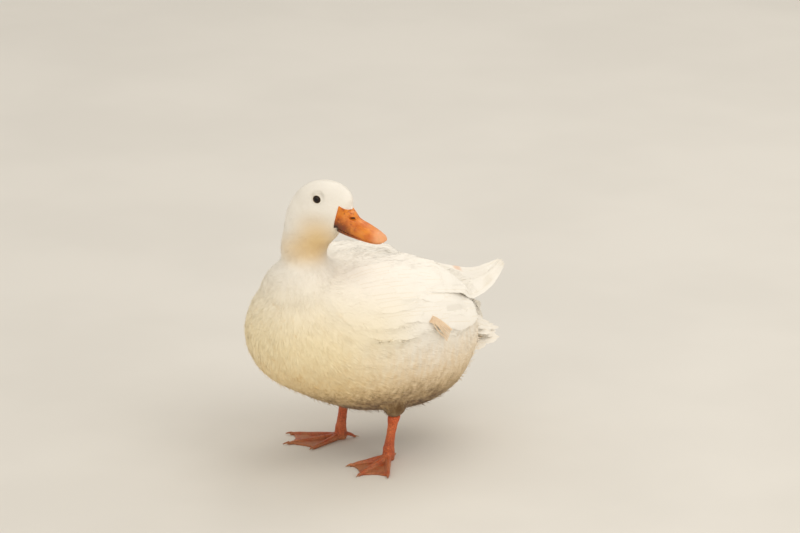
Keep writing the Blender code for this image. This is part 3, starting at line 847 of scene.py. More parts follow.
@dataclass(frozen=True)
class Blade:
    """A flat closed lock with pointed ends, in its own frame.

    Across runs from -1 to 1, along from 0 to 1, and out is measured in half widths.

    Args:
        rings: Sections from root to tip.
        sides: Corners of each section.
        plan: Breadth at places along it, as (share, breadth).
        thick: Half its thickness at the root.
        taper: How much of its thickness is gone at the tip.
    """

    rings: int
    sides: int
    plan: Pairs
    thick: float
    taper: float = 0.75

    def build(self) -> Arrays:
        """Shapes the lock.

        Returns:
            Its points and its triangles.
        """
        bm = bmesh.new()
        bmesh.ops.create_cone(bm, cap_ends=True, segments=self.sides, radius1=1, radius2=1, depth=1)
        long_edges = [e for e in bm.edges if abs(e.verts[0].co.z - e.verts[1].co.z) > 0.5]
        bmesh.ops.subdivide_edges(bm, edges=long_edges, cuts=self.rings - 2, use_grid_fill=True)
        places, breadths = zip(*self.plan)
        for vert in bm.verts:
            share = vert.co.z + 0.5
            broad = float(np.interp(share, places, breadths))
            thin = self.thick * (1 - self.taper * share) * min(1.0, broad * 3)
            vert.co = (vert.co.x * broad, share, vert.co.y * thin)
        bmesh.ops.triangulate(bm, faces=bm.faces)
        bmesh.ops.recalc_face_normals(bm, faces=bm.faces)
        points = np.array([v.co for v in bm.verts])
        faces = np.array([[v.index for v in f.verts] for f in bm.faces])
        bm.free()
        return points, faces


@dataclass(frozen=True)
class RibbedFeather:
    """A large feather: a rib with overlapping locks of barbs along both sides.

    Args:
        locks: How many locks each side has.
        plan: Breadth at places along it, as (share, breadth).
        slant: How far along the feather a lock runs from rib to edge.
        rib: Half the rib's width.
        seed: What the small differences among the locks start from.
        overlap: A lock's half width over the space from one lock to the next.
        camber: How far the feather's edges hang below its rib.
        ridge: How far neighbouring locks stand over each other.
    """

    locks: int
    plan: Pairs
    slant: float = 0.16
    rib: float = 0.05
    seed: int = 3
    overlap: float = 1.35
    camber: float = 0.10
    ridge: float = 0.010

    def build(self) -> Arrays:
        """Shapes the feather.

        Returns:
            Its points and its triangles.
        """
        lock, triangles = Blade(4, 4, ((0, 0.5), (0.3, 1.0), (0.85, 1.0), (1, 0.4)), 0.05).build()
        stem, stem_faces = Blade(7, 4, ((0, 0.9), (0.6, 0.6), (1, 0.2)), 1.0).build()
        places, breadths = zip(*self.plan)
        chance = np.random.default_rng(self.seed)
        points = [stem * (self.rib, 0.97, self.rib) + (0, 0, self.rib * 0.4)]
        faces = [stem_faces]
        count = len(stem)
        starts = np.linspace(0.02, 0.93, self.locks)
        spacing = starts[1] - starts[0]
        for side in (1, -1):
            for k, start in enumerate(starts):
                end = min(start + self.slant * (1 - 0.3 * start) + chance.uniform(-0.01, 0.01), 1.0)
                reach = float(np.interp(end, places, breadths)) * chance.uniform(0.96, 1.02)
                across = side * reach * lock[:, 1] ** 0.85
                sideways = lock[:, 0] * spacing * self.overlap
                hang = -self.camber * across ** 2 + self.ridge * lock[:, 0] * (-1) ** k
                points.append(np.stack([
                    across - side * sideways * 0.35,
                    start + (end - start) * lock[:, 1] + sideways,
                    lock[:, 2] * 0.7 + hang,
                ], 1))
                faces.append((triangles[:, ::-1] if side == 1 else triangles) + count)
                count += len(lock)
        return np.concatenate(points), np.concatenate(faces)


@dataclass
class Laying:
    """Where the copies of one feather lie.

    Args:
        paths: Points from root to tip of each, as (copies, points, 3).
        faces: The way out at each of those points.
        widths: The full width of each.
        roots: Each one's place on the skin's baking map.
        softness: How far the shading follows the skin's form instead of the feather's.
        skin: The skin that they are held down on, if any.
        most: How high they may stand over it.
        grip: How much of what is more is taken off.
        free: From how much more a point is free of the skin.
        ease: Over what way that sets in.
    """

    paths: np.ndarray | list
    faces: np.ndarray | list
    widths: np.ndarray | list
    roots: np.ndarray | list
    softness: float = 0.5
    skin: "Skin | None" = None
    most: float = 1.1 * MM
    grip: float = 0.85
    free: float = 9 * MM
    ease: float = 3 * MM

    def __post_init__(self) -> None:
        """Makes arrays of what was given as lists."""
        self.paths, self.faces = np.array(self.paths), np.array(self.faces)
        self.widths, self.roots = np.array(self.widths), np.array(self.roots)

    def weights(self, along: np.ndarray) -> Arrays:
        """How much each path point counts at places along a feather.

        Args:
            along: The places, from 0 at the root to 1 at the tip.

        Returns:
            What the points count for the place there, and for the heading.
        """
        count = self.paths.shape[1]
        if count == 3:
            place = np.stack([
                2 * (along - 0.5) * (along - 1),
                4 * along * (1 - along),
                2 * along * (along - 0.5),
            ], 1)
            return place, np.stack([4 * along - 3, 4 - 8 * along, 4 * along - 1], 1)
        stations = np.linspace(0, 1, count)
        step = 0.08
        place, ahead, behind = (
            np.stack([np.interp(share, stations, row) for row in np.eye(count)], 1)
            for share in (along, np.minimum(along + step, 1), np.maximum(along - step, 0))
        )
        return place, ahead - behind

    def held_down(self, co: np.ndarray) -> np.ndarray:
        """Presses points close to the skin where they stand too high over it.

        Args:
            co: The feathers' points, as (copies, points, 3).

        Returns:
            The pressed points.
        """
        pressed = co.reshape(-1, 3).copy()
        for index, point in enumerate(pressed):
            place, out, _ = self.skin.nearest(Vector(point))
            extra = (Vector(point) - place).dot(out) - self.most
            hold = self.grip * limited((self.free - extra) / self.ease)
            if extra > 0 and hold:
                pressed[index] -= np.array(out) * extra * hold
        return pressed.reshape(co.shape)

    def build(self, shape: Arrays, name: str) -> Piece:
        """Lays the copies and joins them in one piece.

        Args:
            shape: The feather's points and triangles in its own frame.
            name: The piece's name.

        Returns:
            The piece, with its two maps.
        """
        points, triangles = shape
        place, heading = self.weights(np.clip(points[:, 1], 0, 1))
        middle = np.einsum("vk,nkd->nvd", place, self.paths)
        along = unit(np.einsum("vk,nkd->nvd", heading, self.paths))
        out = unit(np.einsum("vk,nkd->nvd", place, self.faces))
        across = unit(np.cross(along, out))
        rise = np.cross(across, along)
        half = self.widths[:, None, None] / 2
        co = middle + (across * points[None, :, 0:1] + rise * points[None, :, 2:3]) * half
        if self.skin:
            co = self.held_down(co)
        copies, each = co.shape[:2]
        tris = (triangles[None] + (np.arange(copies) * each)[:, None, None]).reshape(-1, 3)
        mesh = bpy.data.meshes.new(name)
        mesh.vertices.add(copies * each)
        mesh.vertices.foreach_set("co", co.astype(np.float32).ravel())
        mesh.loops.add(tris.size)
        mesh.loops.foreach_set("vertex_index", tris.astype(np.int32).ravel())
        mesh.polygons.add(len(tris))
        mesh.polygons.foreach_set("loop_start", np.arange(0, tris.size, 3, dtype=np.int32))
        mesh.update(calc_edges=True)
        mesh.shade_smooth()
        corner = tris.ravel()
        bake = self.roots[:, None] + (points[None, :, :2] - (0, 0.5)) * (BAKE_PATCH / 2, BAKE_PATCH)
        vane = np.broadcast_to(points[None, :, :2] * (0.5, 1) + (0.5, 0), bake.shape)
        for layer, values in ((BAKE_MAP, bake), (VANE_MAP, vane)):
            uv = mesh.uv_layers.new(name=layer)
            uv.uv.foreach_set("vector", values.reshape(-1, 2)[corner].astype(np.float32).ravel())
        # Each face is shaded as the form under it, and undersides the other way round.
        flat = unit(crossed(co.reshape(-1, 3)[tris]))[:, None]
        facing = out.reshape(-1, 3)[tris]
        sign = np.where((facing * flat).sum(2, keepdims=True) < -0.5, -1, 1)
        mixed = flat * (1 - self.softness) + facing * sign * self.softness
        mesh.normals_split_custom_set(unit(mixed).reshape(-1, 3))
        return linked(name, mesh)


@dataclass
class Skin:
    """One skin under the whole coat, with the lie of the feathers on it.

    Once built, it keeps its points and normals, its triangles with their areas and places on the
    baking map, and for each point its node, its reach from the bill and the feathers' heading.

    Args:
        voxel: The size of its faces.
        rounds: How often it is smoothed.
        flank: The Y in front of which the wings run smoothly into flanks and back.
        slim: How much deeper the skin lies low down at the rear.
        merge: How often the skin is smoothed where nodes meet.
        wing_end: The Y where the wings' flesh ends.
        wing_hem: A place on the plane below which only loose feathers hang from the wings.
        tail_end: The Y where the tail's flesh ends.
        depths: How far the skin lies inside each kind of node.
    """

    voxel: float = 2.4 * MM
    rounds: int = 8
    flank: float = 46 * MM
    slim: float = 4.0 * MM
    merge: int = 40
    wing_end: float = 104 * MM
    wing_hem: Vector = field(default_factory=lambda: standing(0, 90, 153))
    tail_end: float = 134 * MM
    depths: dict[str, float] = field(default_factory=lambda: {
        "torso": 3.0 * MM,
        "neck": 2.4 * MM,
        "head": 0.6 * MM,
        "thigh": 1.2 * MM,
        "wing": 3.6 * MM,
        "tail": 4.5 * MM,
    })

    def build(self, bare: "Bare") -> Piece:
        """Makes the skin and reads its lie.

        Args:
            bare: Where the head is bare, which bounds the feathered top of the bill.

        Returns:
            The skin's piece.
        """
        bm = bmesh.new()
        rear = Vector((0, 1, 0))
        hem = (self.wing_hem, Vector((0, 0.1, -1)).normalized())
        cuts = {
            "wing": ((Vector((0, self.wing_end, 0)), rear), hem),
            "tail": ((Vector((0, self.tail_end, 0)), rear),),
        }
        for node in FLESH:
            add_node(bm, node, *cuts.get(node.split("_")[0], ()))
        place, way = bare.top_plane()
        add_node(bm, "bill_upper", (place, -way), (bare.head.point(bare.front, 0), bare.head.axes()[0]))
        bm = remeshed(bm, self.voxel, self.rounds)
        bm.verts.ensure_lookup_table()
        co = np.array([v.co for v in bm.verts])
        self.region = self.regions(co)
        low_rear = np.interp(co[:, 1], (0.03, 0.08), (0, 1)) * np.interp(co[:, 2], (0.10, 0.14), (1, 0))
        deep = np.array([self.depths[kind] for kind in self.kinds()]) + self.slim * low_rear
        pairs = self.neighbours([[v.index for v in f.verts] for f in bm.faces])
        flanks = self.seam(pairs, "wing", "torso") & (co[:, 1] < self.flank)
        for near in (flanks, self.seam(pairs, "neck", "torso")):
            smooth(bm, [bm.verts[int(i)] for i in np.flatnonzero(near)], self.merge)
        bm.normal_update()
        deep = self.spread(deep[:, None], pairs, 6)[:, 0]
        for vert, depth in zip(bm.verts, deep):
            vert.co -= vert.normal * depth
        bmesh.ops.triangulate(bm, faces=bm.faces)
        bm.normal_update()
        self.co = np.array([v.co for v in bm.verts])
        self.normal = np.array([v.normal for v in bm.verts])
        self.tree = BVHTree.FromBMesh(bm)
        self.reach = self.reaches(bare.head, pairs)
        self.flow = self.flows(pairs)
        piece = piece_of(bm, "skin", right=False)
        self.unwrap(piece)
        return piece

    def regions(self, co: np.ndarray) -> np.ndarray:
        """Which node of flesh is nearest to each point.

        Args:
            co: The points.

        Returns:
            The node's place in FLESH, for each point.
        """
        away = []
        margin = 0.02
        for name in FLESH:
            bm = bmesh.new()
            add_node(bm, name)
            tree = BVHTree.FromBMesh(bm)
            bm.free()
            low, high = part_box(name)
            near = np.all((co > np.array(low) - margin) & (co < np.array(high) + margin), axis=1)
            found = np.full(len(co), 1.0)
            found[near] = [tree.find_nearest(Vector(point))[3] for point in co[near]]
            away.append(found)
        return np.argmin(away, axis=0)

    def kinds(self) -> np.ndarray:
        """The kind of node at each point, which is wing for both wings."""
        return np.array([node.split("_")[0] for node in FLESH])[self.region]

    def seam(self, pairs: np.ndarray, one: str, other: str) -> np.ndarray:
        """Finds the points near the place where two kinds of node meet.

        Args:
            pairs: Points that share a face.
            one: The first kind.
            other: The second kind.

        Returns:
            Whether each point is near it.
        """
        kinds = self.kinds()
        here, there = kinds[pairs[:, 0]], kinds[pairs[:, 1]]
        meet = ((here == one) & (there == other)) | ((here == other) & (there == one))
        border = np.bincount(pairs[:, 0], meet, len(kinds)) > 0
        return self.spread(border[:, None].astype(float), pairs, 8)[:, 0] > 0.02

    def neighbours(self, quads: list[list[int]]) -> np.ndarray:
        """Pairs of points that share a face, once each way.

        Args:
            quads: The corners of each face.

        Returns:
            The pairs in order, as (count, 2).
        """
        pairs = set()
        for corners in quads:
            for i, one in enumerate(corners):
                for other in corners[i + 1:]:
                    pairs.add((one, other))
                    pairs.add((other, one))
        return np.array(sorted(pairs))

    def spread(self, values: np.ndarray, pairs: np.ndarray, rounds: int) -> np.ndarray:
        """Averages values over neighbours, again and again.

        Args:
            values: Values at each point, as (points, columns).
            pairs: Points that share a face.
            rounds: How often they are averaged.

        Returns:
            The averaged values.
        """
        count = np.bincount(pairs[:, 0], minlength=len(values))[:, None] + 1.0
        for _ in range(rounds):
            total = values.copy()
            for column in range(values.shape[1]):
                total[:, column] += np.bincount(pairs[:, 0], values[pairs[:, 1], column], len(values))
            values = total / count
        return values

    def reaches(self, head: HeadFrame, pairs: np.ndarray) -> np.ndarray:
        """How far each point is from the bill, over the skin.

        Args:
            head: The head's frame.
            pairs: Points that share a face.

        Returns:
            The way from the bill's base to each point.
        """
        base, radius = np.array(head.point(13, 22)), 16 * MM
        reach = np.full(len(self.co), np.inf)
        near = np.linalg.norm(self.co - base, axis=1) < radius
        reach[near] = 0.0
        queue = [(0.0, int(i)) for i in np.flatnonzero(near)]
        heapq.heapify(queue)
        lengths = np.linalg.norm(self.co[pairs[:, 0]] - self.co[pairs[:, 1]], axis=1).tolist()
        first = np.searchsorted(pairs[:, 0], np.arange(len(self.co) + 1)).tolist()
        others = pairs[:, 1].tolist()
        found = reach.tolist()
        while queue:
            far, here = heapq.heappop(queue)
            if far > found[here]:
                continue
            for k in range(first[here], first[here + 1]):
                step = far + lengths[k]
                if step < found[others[k]]:
                    found[others[k]] = step
                    heapq.heappush(queue, (step, others[k]))
        reach = np.array(found)
        reach[np.isinf(reach)] = np.max(reach[np.isfinite(reach)])
        return self.spread(reach[:, None], pairs, 8)[:, 0]

    def flows(self, pairs: np.ndarray) -> np.ndarray:
        """The way the feathers lie: away from the bill, and backwards along the body.

        Args:
            pairs: Points that share a face.

        Returns:
            A unit vector along the skin, for each point.
        """
        step = self.co[pairs[:, 1]] - self.co[pairs[:, 0]]
        rise = self.reach[pairs[:, 1]] - self.reach[pairs[:, 0]]
        pull = step * (rise / np.maximum((step ** 2).sum(1), 1e-12))[:, None]
        flow = np.stack([np.bincount(pairs[:, 0], pull[:, axis], len(self.co)) for axis in range(3)], 1)
        flow = unit(flow)
        kinds = self.kinds()
        backwards = np.interp(self.co[:, 1], [-0.17, -0.10, 0.0], [0.3, 2.2, 4.5])
        for kind, pull_back in (("head", 0.0), ("neck", 0.0), ("thigh", 0.2), ("wing", 4.0)):
            backwards[kinds == kind] = pull_back
        flow = flow + backwards[:, None] * np.array([0, 1.0, -0.22])
        for kind, fall in (("wing", 0.3), ("thigh", 1.5)):
            flow[kinds == kind] -= (0, 0, fall)
        flow = self.spread(unit(flow), pairs, 12)
        flow -= self.normal * (flow * self.normal).sum(1, keepdims=True)
        return unit(flow)

    def unwrap(self, piece: Piece) -> None:
        """Unwraps the skin's own shape for baking, and keeps each corner's place on that map.

        Args:
            piece: The skin's piece.
        """
        mesh = piece.data
        mesh.uv_layers.new(name=BAKE_MAP)
        bpy.context.view_layer.objects.active = piece
        piece.select_set(True)
        bpy.ops.object.mode_set(mode="EDIT")
        bpy.ops.mesh.select_all(action="SELECT")
        bpy.ops.uv.smart_project(angle_limit=math.radians(66), island_margin=0.004)
        bpy.ops.object.mode_set(mode="OBJECT")
        piece.select_set(False)
        places = np.zeros(len(mesh.loops) * 2, np.float32)
        mesh.uv_layers[BAKE_MAP].uv.foreach_get("vector", places)
        corners = np.zeros(len(mesh.loops), np.int32)
        mesh.loops.foreach_get("vertex_index", corners)
        self.uv = places.reshape(-1, 3, 2)
        self.tris = corners.reshape(-1, 3)
        self.area = 0.5 * np.linalg.norm(crossed(self.co[self.tris]), axis=1)

    def nearest(self, point: Vector) -> SkinPlace:
        """The skin's place nearest to a point, the way out there and its face."""
        place, normal, face, _ = self.tree.find_nearest(point)
        return place, normal, face

    def face_map(self, face: int) -> np.ndarray:
        """A face's place on the baking map."""
        return self.uv[face].mean(0)


@dataclass(frozen=True)
class Bare:
    """Where the head has no feathers: round the eyes and where the bill's horn lies on the face.

    Args:
        head: The head's frame.
        eye: The eyes' place, forward and up.
        opening: Half the lids' opening there.
        edge: The horn's rear edge, as forward at the gape and the slope of forward over up.
        top: The horn's upper edge, as up at the gape and how far it falls with forward.
        front: How far forward the forehead's feathers reach.
    """

    head: HeadFrame
    eye: Pair = EYE_PLACE
    opening: float = 5.9
    edge: Pair = (-1.0, 0.25)
    top: Pair = (33.3, 0.75)
    front: float = 20.0

    def top_plane(self) -> tuple[Vector, Vector]:
        """The plane of the horn's upper edge, as a place on it and the way up out of it."""
        along, above, _ = self.head.axes()
        return self.head.point(0, self.top[0]), above + along * self.top[1]

    def holds(self, points: np.ndarray) -> np.ndarray:
        """Finds the points in a bare place.

        Args:
            points: The points, as (count, 3).

        Returns:
            Whether each is in one.
        """
        forward, up, side = self.head.measure(points).T
        near_eye = np.hypot(forward - self.eye[0], up - self.eye[1]) < self.opening
        behind = self.edge[0] + self.edge[1] * np.maximum(up, 0) + 0.10 * np.maximum(-up, 0)
        below = (up < self.top[0] - self.top[1] * forward) | (forward > self.front)
        horn = (forward > behind) & (forward < 70) & below & (up > -14)
        return (near_eye & (np.abs(side) > 8)) | horn


@dataclass
class Coat:
    """Small feathers sown over part of the skin.

    Args:
        name: The piece's name.
        nodes: The nodes whose skin it covers.
        shape: One feather.
        lengths: Length over the distance from the bill, as (distance, length).
        slender: Width as a share of length.
        layers: How many feathers lie over one another.
        lift: Height of the tip over the skin as a share of length.
        rise: Height of the root over the skin.
        stray: How far a feather's heading strays, in radians.
        seed: What its chances start from.
        region: Limits on X, Y and Z, as (axis, low, high).
        softness: How far the shading follows the skin's form.
        clump: How wide the swells are in which the feathers lie together.
    """

    name: str
    nodes: tuple[str, ...]
    shape: Blade
    lengths: Pairs
    slender: float = 0.34
    layers: float = 5.0
    lift: float = 0.16
    rise: float = 0.0
    stray: float = 0.16
    seed: int = 1
    region: tuple[tuple[int, float, float], ...] = ()
    softness: float = 0.93
    clump: float = 0.018

    def build(self, skin: Skin, bare: "Bare") -> Piece:
        """Sows the feathers.

        Args:
            skin: The skin they grow from.
            bare: Where no feather may reach.

        Returns:
            The coat's piece.
        """
        chance = np.random.default_rng(self.seed)
        middle = skin.co[skin.tris].mean(1)
        reach = skin.reach[skin.tris].mean(1)
        names = np.array(FLESH)[skin.region[skin.tris[:, 0]]]
        inside = np.isin(names, self.nodes)
        for axis, low, high in self.region:
            inside &= (middle[:, axis] > low) & (middle[:, axis] < high)
        stations, sizes = zip(*self.lengths)
        long = np.interp(reach, stations, sizes)
        wanted = inside * skin.area * self.layers / (long * long * self.slender)
        total = np.cumsum(wanted)
        count = int(total[-1])
        marks = (np.arange(count) + chance.uniform(0.1, 0.9, count)) * total[-1] / count
        face = np.minimum(np.searchsorted(total, marks), len(total) - 1)
        share = chance.dirichlet((1, 1, 1), count)
        corners = skin.tris[face]
        root = blended(share, skin.co[corners])
        out = unit(blended(share, skin.normal[corners]))
        flow = unit(blended(share, skin.flow[corners]))
        sideways = np.cross(out, flow)
        swell = waves(root, self.clump, 77)
        turn = (chance.normal(0, self.stray, count) + 0.22 * waves(root, self.clump * 1.3, 78))[:, None]
        heading = unit(flow * np.cos(turn) + sideways * np.sin(turn))
        length = long[face] * chance.uniform(0.8, 1.2, count)
        reached = [skin.nearest(Vector(place)) for place in root + heading * length[:, None]]
        tip = np.array([place for place, _, _ in reached])
        tip_out = np.array([normal for _, normal, _ in reached])
        waist = np.array([skin.nearest(Vector(place))[0] for place in (root + tip) / 2])
        lifted = (self.lift * length * chance.uniform(0.5, 1.5, count) * (1 + 0.5 * swell))[:, None]
        middle_out = unit(out + tip_out)
        kept = ~(bare.holds(root) | bare.holds(tip))
        path = np.stack([
            root + out * (self.rise - 0.0004),
            waist + middle_out * (self.rise + lifted * 0.62),
            tip + tip_out * (self.rise + lifted),
        ], 1)
        roll = chance.normal(0, 0.12, count)[:, None, None]
        facing = np.stack([out, middle_out, tip_out], 1)
        facing = unit(facing + np.cross(heading, middle_out)[:, None] * roll)
        map_places = blended(share, skin.uv[face])
        widths = length * self.slender
        laying = Laying(path[kept], facing[kept], widths[kept], map_places[kept], self.softness)
        return laying.build(self.shape.build(), self.name)


@dataclass(frozen=True)
class WingRow:
    """One row of ribbed feathers across a wing.

    Args:
        start: The Y of its middle root.
        length: A feather's length.
        width: A feather's width.
        count: How many feathers it has.
        lift: How high root and tip stand over the skin.
        hug: How closely the tips follow the skin.
    """

    start: float
    length: float
    width: float
    count: int
    lift: Pair
    hug: float = 1.0


@dataclass
class Wing:
    """A folded wing: rows of ribbed feathers over the wing's flesh.

    Args:
        side: Which wing it is.
        rows: Its rows, front to rear.
        low: The angle of the wing's lower edge, over Y, in degrees up from the side.
        high: The angle of its upper edge.
        slant: How much further forward the roots lie at the upper edge.
        steps: Points along a feather's path.
        shape: One feather.
    """

    side: Side
    rows: tuple[WingRow, ...] = (
        WingRow(-0.080, 0.038, 0.016, 12, (0.0000, 0.0009)),
        WingRow(-0.058, 0.041, 0.017, 13, (0.0001, 0.0011)),
        WingRow(-0.034, 0.045, 0.018, 13, (0.0002, 0.0012)),
        WingRow(-0.010, 0.050, 0.020, 12, (0.0003, 0.0014)),
        WingRow(0.014, 0.056, 0.022, 11, (0.0004, 0.0016)),
        WingRow(0.038, 0.060, 0.023, 10, (0.0005, 0.0018), 0.95),
    )
    low: Pairs = ((-0.14, 34), (-0.10, 26), (0.0, 20), (0.06, 24), (0.10, 32))
    high: Pairs = (
        (-0.14, 58), (-0.10, 62), (-0.04, 56), (0.0, 50), (0.03, 44), (0.06, 40), (0.10, 36),
    )
    slant: float = 0.026
    steps: int = 7
    shape: RibbedFeather = RibbedFeather(
        20, ((0, 0.45), (0.25, 0.95), (0.6, 1.0), (0.85, 0.82), (0.95, 0.55), (1, 0.2)),
    )

    def surface(self, skin: Skin, y: float, across: float) -> SkinPlace:
        """A place on the wing's skin.

        Args:
            skin: The skin.
            y: Its Y.
            across: The share of the way up from the wing's lower edge.

        Returns:
            The place.
        """
        low = float(np.interp(y, *zip(*self.low)))
        high = float(np.interp(y, *zip(*self.high)))
        angle = math.radians(low + (high - low) * across)
        away = Vector((math.cos(angle) * self.side.value, 0, math.sin(angle)))
        # The angles are measured round a line through the body, which falls to the rear.
        middle = Vector((0, y, 0.142 - 0.18 * y))
        place, normal, face, _ = skin.tree.ray_cast(middle + away * 0.3, -away)
        return place, normal, face

    def trace(self, skin: Skin, start: SkinPlace, row: WingRow, length: float, drift: float) -> Arrays:
        """A feather's path over the skin.

        Args:
            skin: The skin.
            start: The root's place.
            row: The row it belongs to.
            length: Its length.
            drift: How far it heads downwards.

        Returns:
            The path's points and the way out at each.
        """
        point, out, _ = start
        heading = Vector((0, 1, -drift))
        points = []
        faces = []
        for k in range(self.steps):
            share = k / (self.steps - 1)
            lift = row.lift[0] + (row.lift[1] - row.lift[0]) * share ** 0.7
            points.append(point + out * (lift if k else -0.0008))
            faces.append(out)
            heading = (heading - out * heading.dot(out)).normalized()
            ahead = point + heading * length / (self.steps - 1)
            place, normal, _ = skin.nearest(ahead)
            hug = 1 - (1 - row.hug) * share ** 2
            point = ahead.lerp(place, hug)
            out = out.lerp(normal, hug * 0.8).normalized()
        return np.array(points), np.array(faces)

    def build(self, skin: Skin) -> Piece:
        """Lays all the rows.

        Args:
            skin: The skin they grow from.

        Returns:
            The wing's piece.
        """
        chance = np.random.default_rng(40 + self.side.value)
        paths, faces, widths, roots = [], [], [], []
        for number, row in enumerate(self.rows):
            for k in range(row.count):
                across = (k + 0.5 * (number % 2) + 0.25) / row.count + chance.uniform(-0.012, 0.012)
                across = limited(across, 0.02, 0.98)
                start = self.surface(skin, row.start - self.slant * across, across)
                length = row.length * chance.uniform(0.93, 1.06)
                drift = 0.10 + 0.10 * across + chance.uniform(-0.04, 0.04)
                path, facing = self.trace(skin, start, row, length, drift)
                roll = chance.normal(0, 0.05)
                sideways = np.cross(path[-1] - path[0], facing)
                paths.append(path)
                faces.append(unit(facing + unit(sideways) * roll))
                widths.append(row.width * chance.uniform(0.94, 1.06))
                roots.append(skin.face_map(start[2]))
        laying = Laying(paths, faces, widths, roots, 0.8, skin)
        return laying.build(self.shape.build(), f"wing_feathers_{self.side.letter}")


@dataclass
class LongFeathers:
    """A set of long flight feathers held over the rump.

    Args:
        name: The piece's name.
        stations: Points that the first and the last feather pass through, root to tip, in millimetres.
        outward: The way the set faces at the tips.
        longer: How much longer the middle ones are.
        count: How many there are.
        width: A feather's width.
        layer: How far each lies outside the one above it, in millimetres.
        clear: How far the set stays above the skin.
        shape: One feather.
    """

    name: str
    stations: tuple
    outward: Vector
    longer: float = 5.0
    count: int = 10
    width: float = 17 * MM
    layer: float = 0.5
    clear: float = 1.6 * MM
    shape: RibbedFeather = RibbedFeather(
        30, ((0, 0.5), (0.2, 0.85), (0.5, 1.0), (0.8, 0.68), (0.93, 0.3), (1, 0.05)), 0.11, 0.05
    )

    def build(self, skin: Skin) -> Piece:
        """Lays the flight feathers.

        Args:
            skin: The skin that they lie on at first.

        Returns:
            Their piece.
        """
        chance = np.random.default_rng(23)
        outward = self.outward.normalized()
        paths, faces, roots = [], [], []
        for k in range(self.count):
            share = k / (self.count - 1)
            points = [
                Vector(one).lerp(Vector(other), share) + outward * self.layer * k
                for one, other in self.stations
            ]
            ahead = (points[-1] - points[-2]).normalized()
            points[-1] += ahead * (self.longer * math.sin(math.pi * share) + chance.uniform(-6, 4))
            path, facing = [], []
            roll = ahead.cross(outward) * chance.normal(0, 0.22)
            _, root_out, face = skin.nearest(standing(*points[0]))
            roots.append(skin.face_map(face))
            for step, point in enumerate(curve(points, 9)):
                place = standing(*point)
                near, out, _ = skin.nearest(place)
                if not step:
                    place = near
                height = (place - near).dot(out)
                if height < self.clear and 0 < step < 4:
                    place += out * (self.clear - height)
                path.append(place)
                facing.append(root_out.lerp(outward + roll * step / 8, min(1, step / 3)).normalized())
            paths.append(path)
            faces.append(facing)
        laying = Laying(paths, faces, [self.width] * self.count, roots, 0.6, skin, 1.4 * MM)
        return laying.build(self.shape.build(), self.name)


@dataclass(frozen=True)
class TailFan:
    """One fan of tail feathers or coverts, measured in millimetres.

    Args:
        count: How many feathers it has.
        spread: Half the fan's angle, in degrees.
        root: The roots' half spread, Y and Z.
        reach: Length in the middle and at the sides.
        width: A feather's width.
        fall: How far the middle and the side feathers drop.
    """

    count: int
    spread: float
    root: Triple
    reach: Pair
    width: float
    fall: Pair


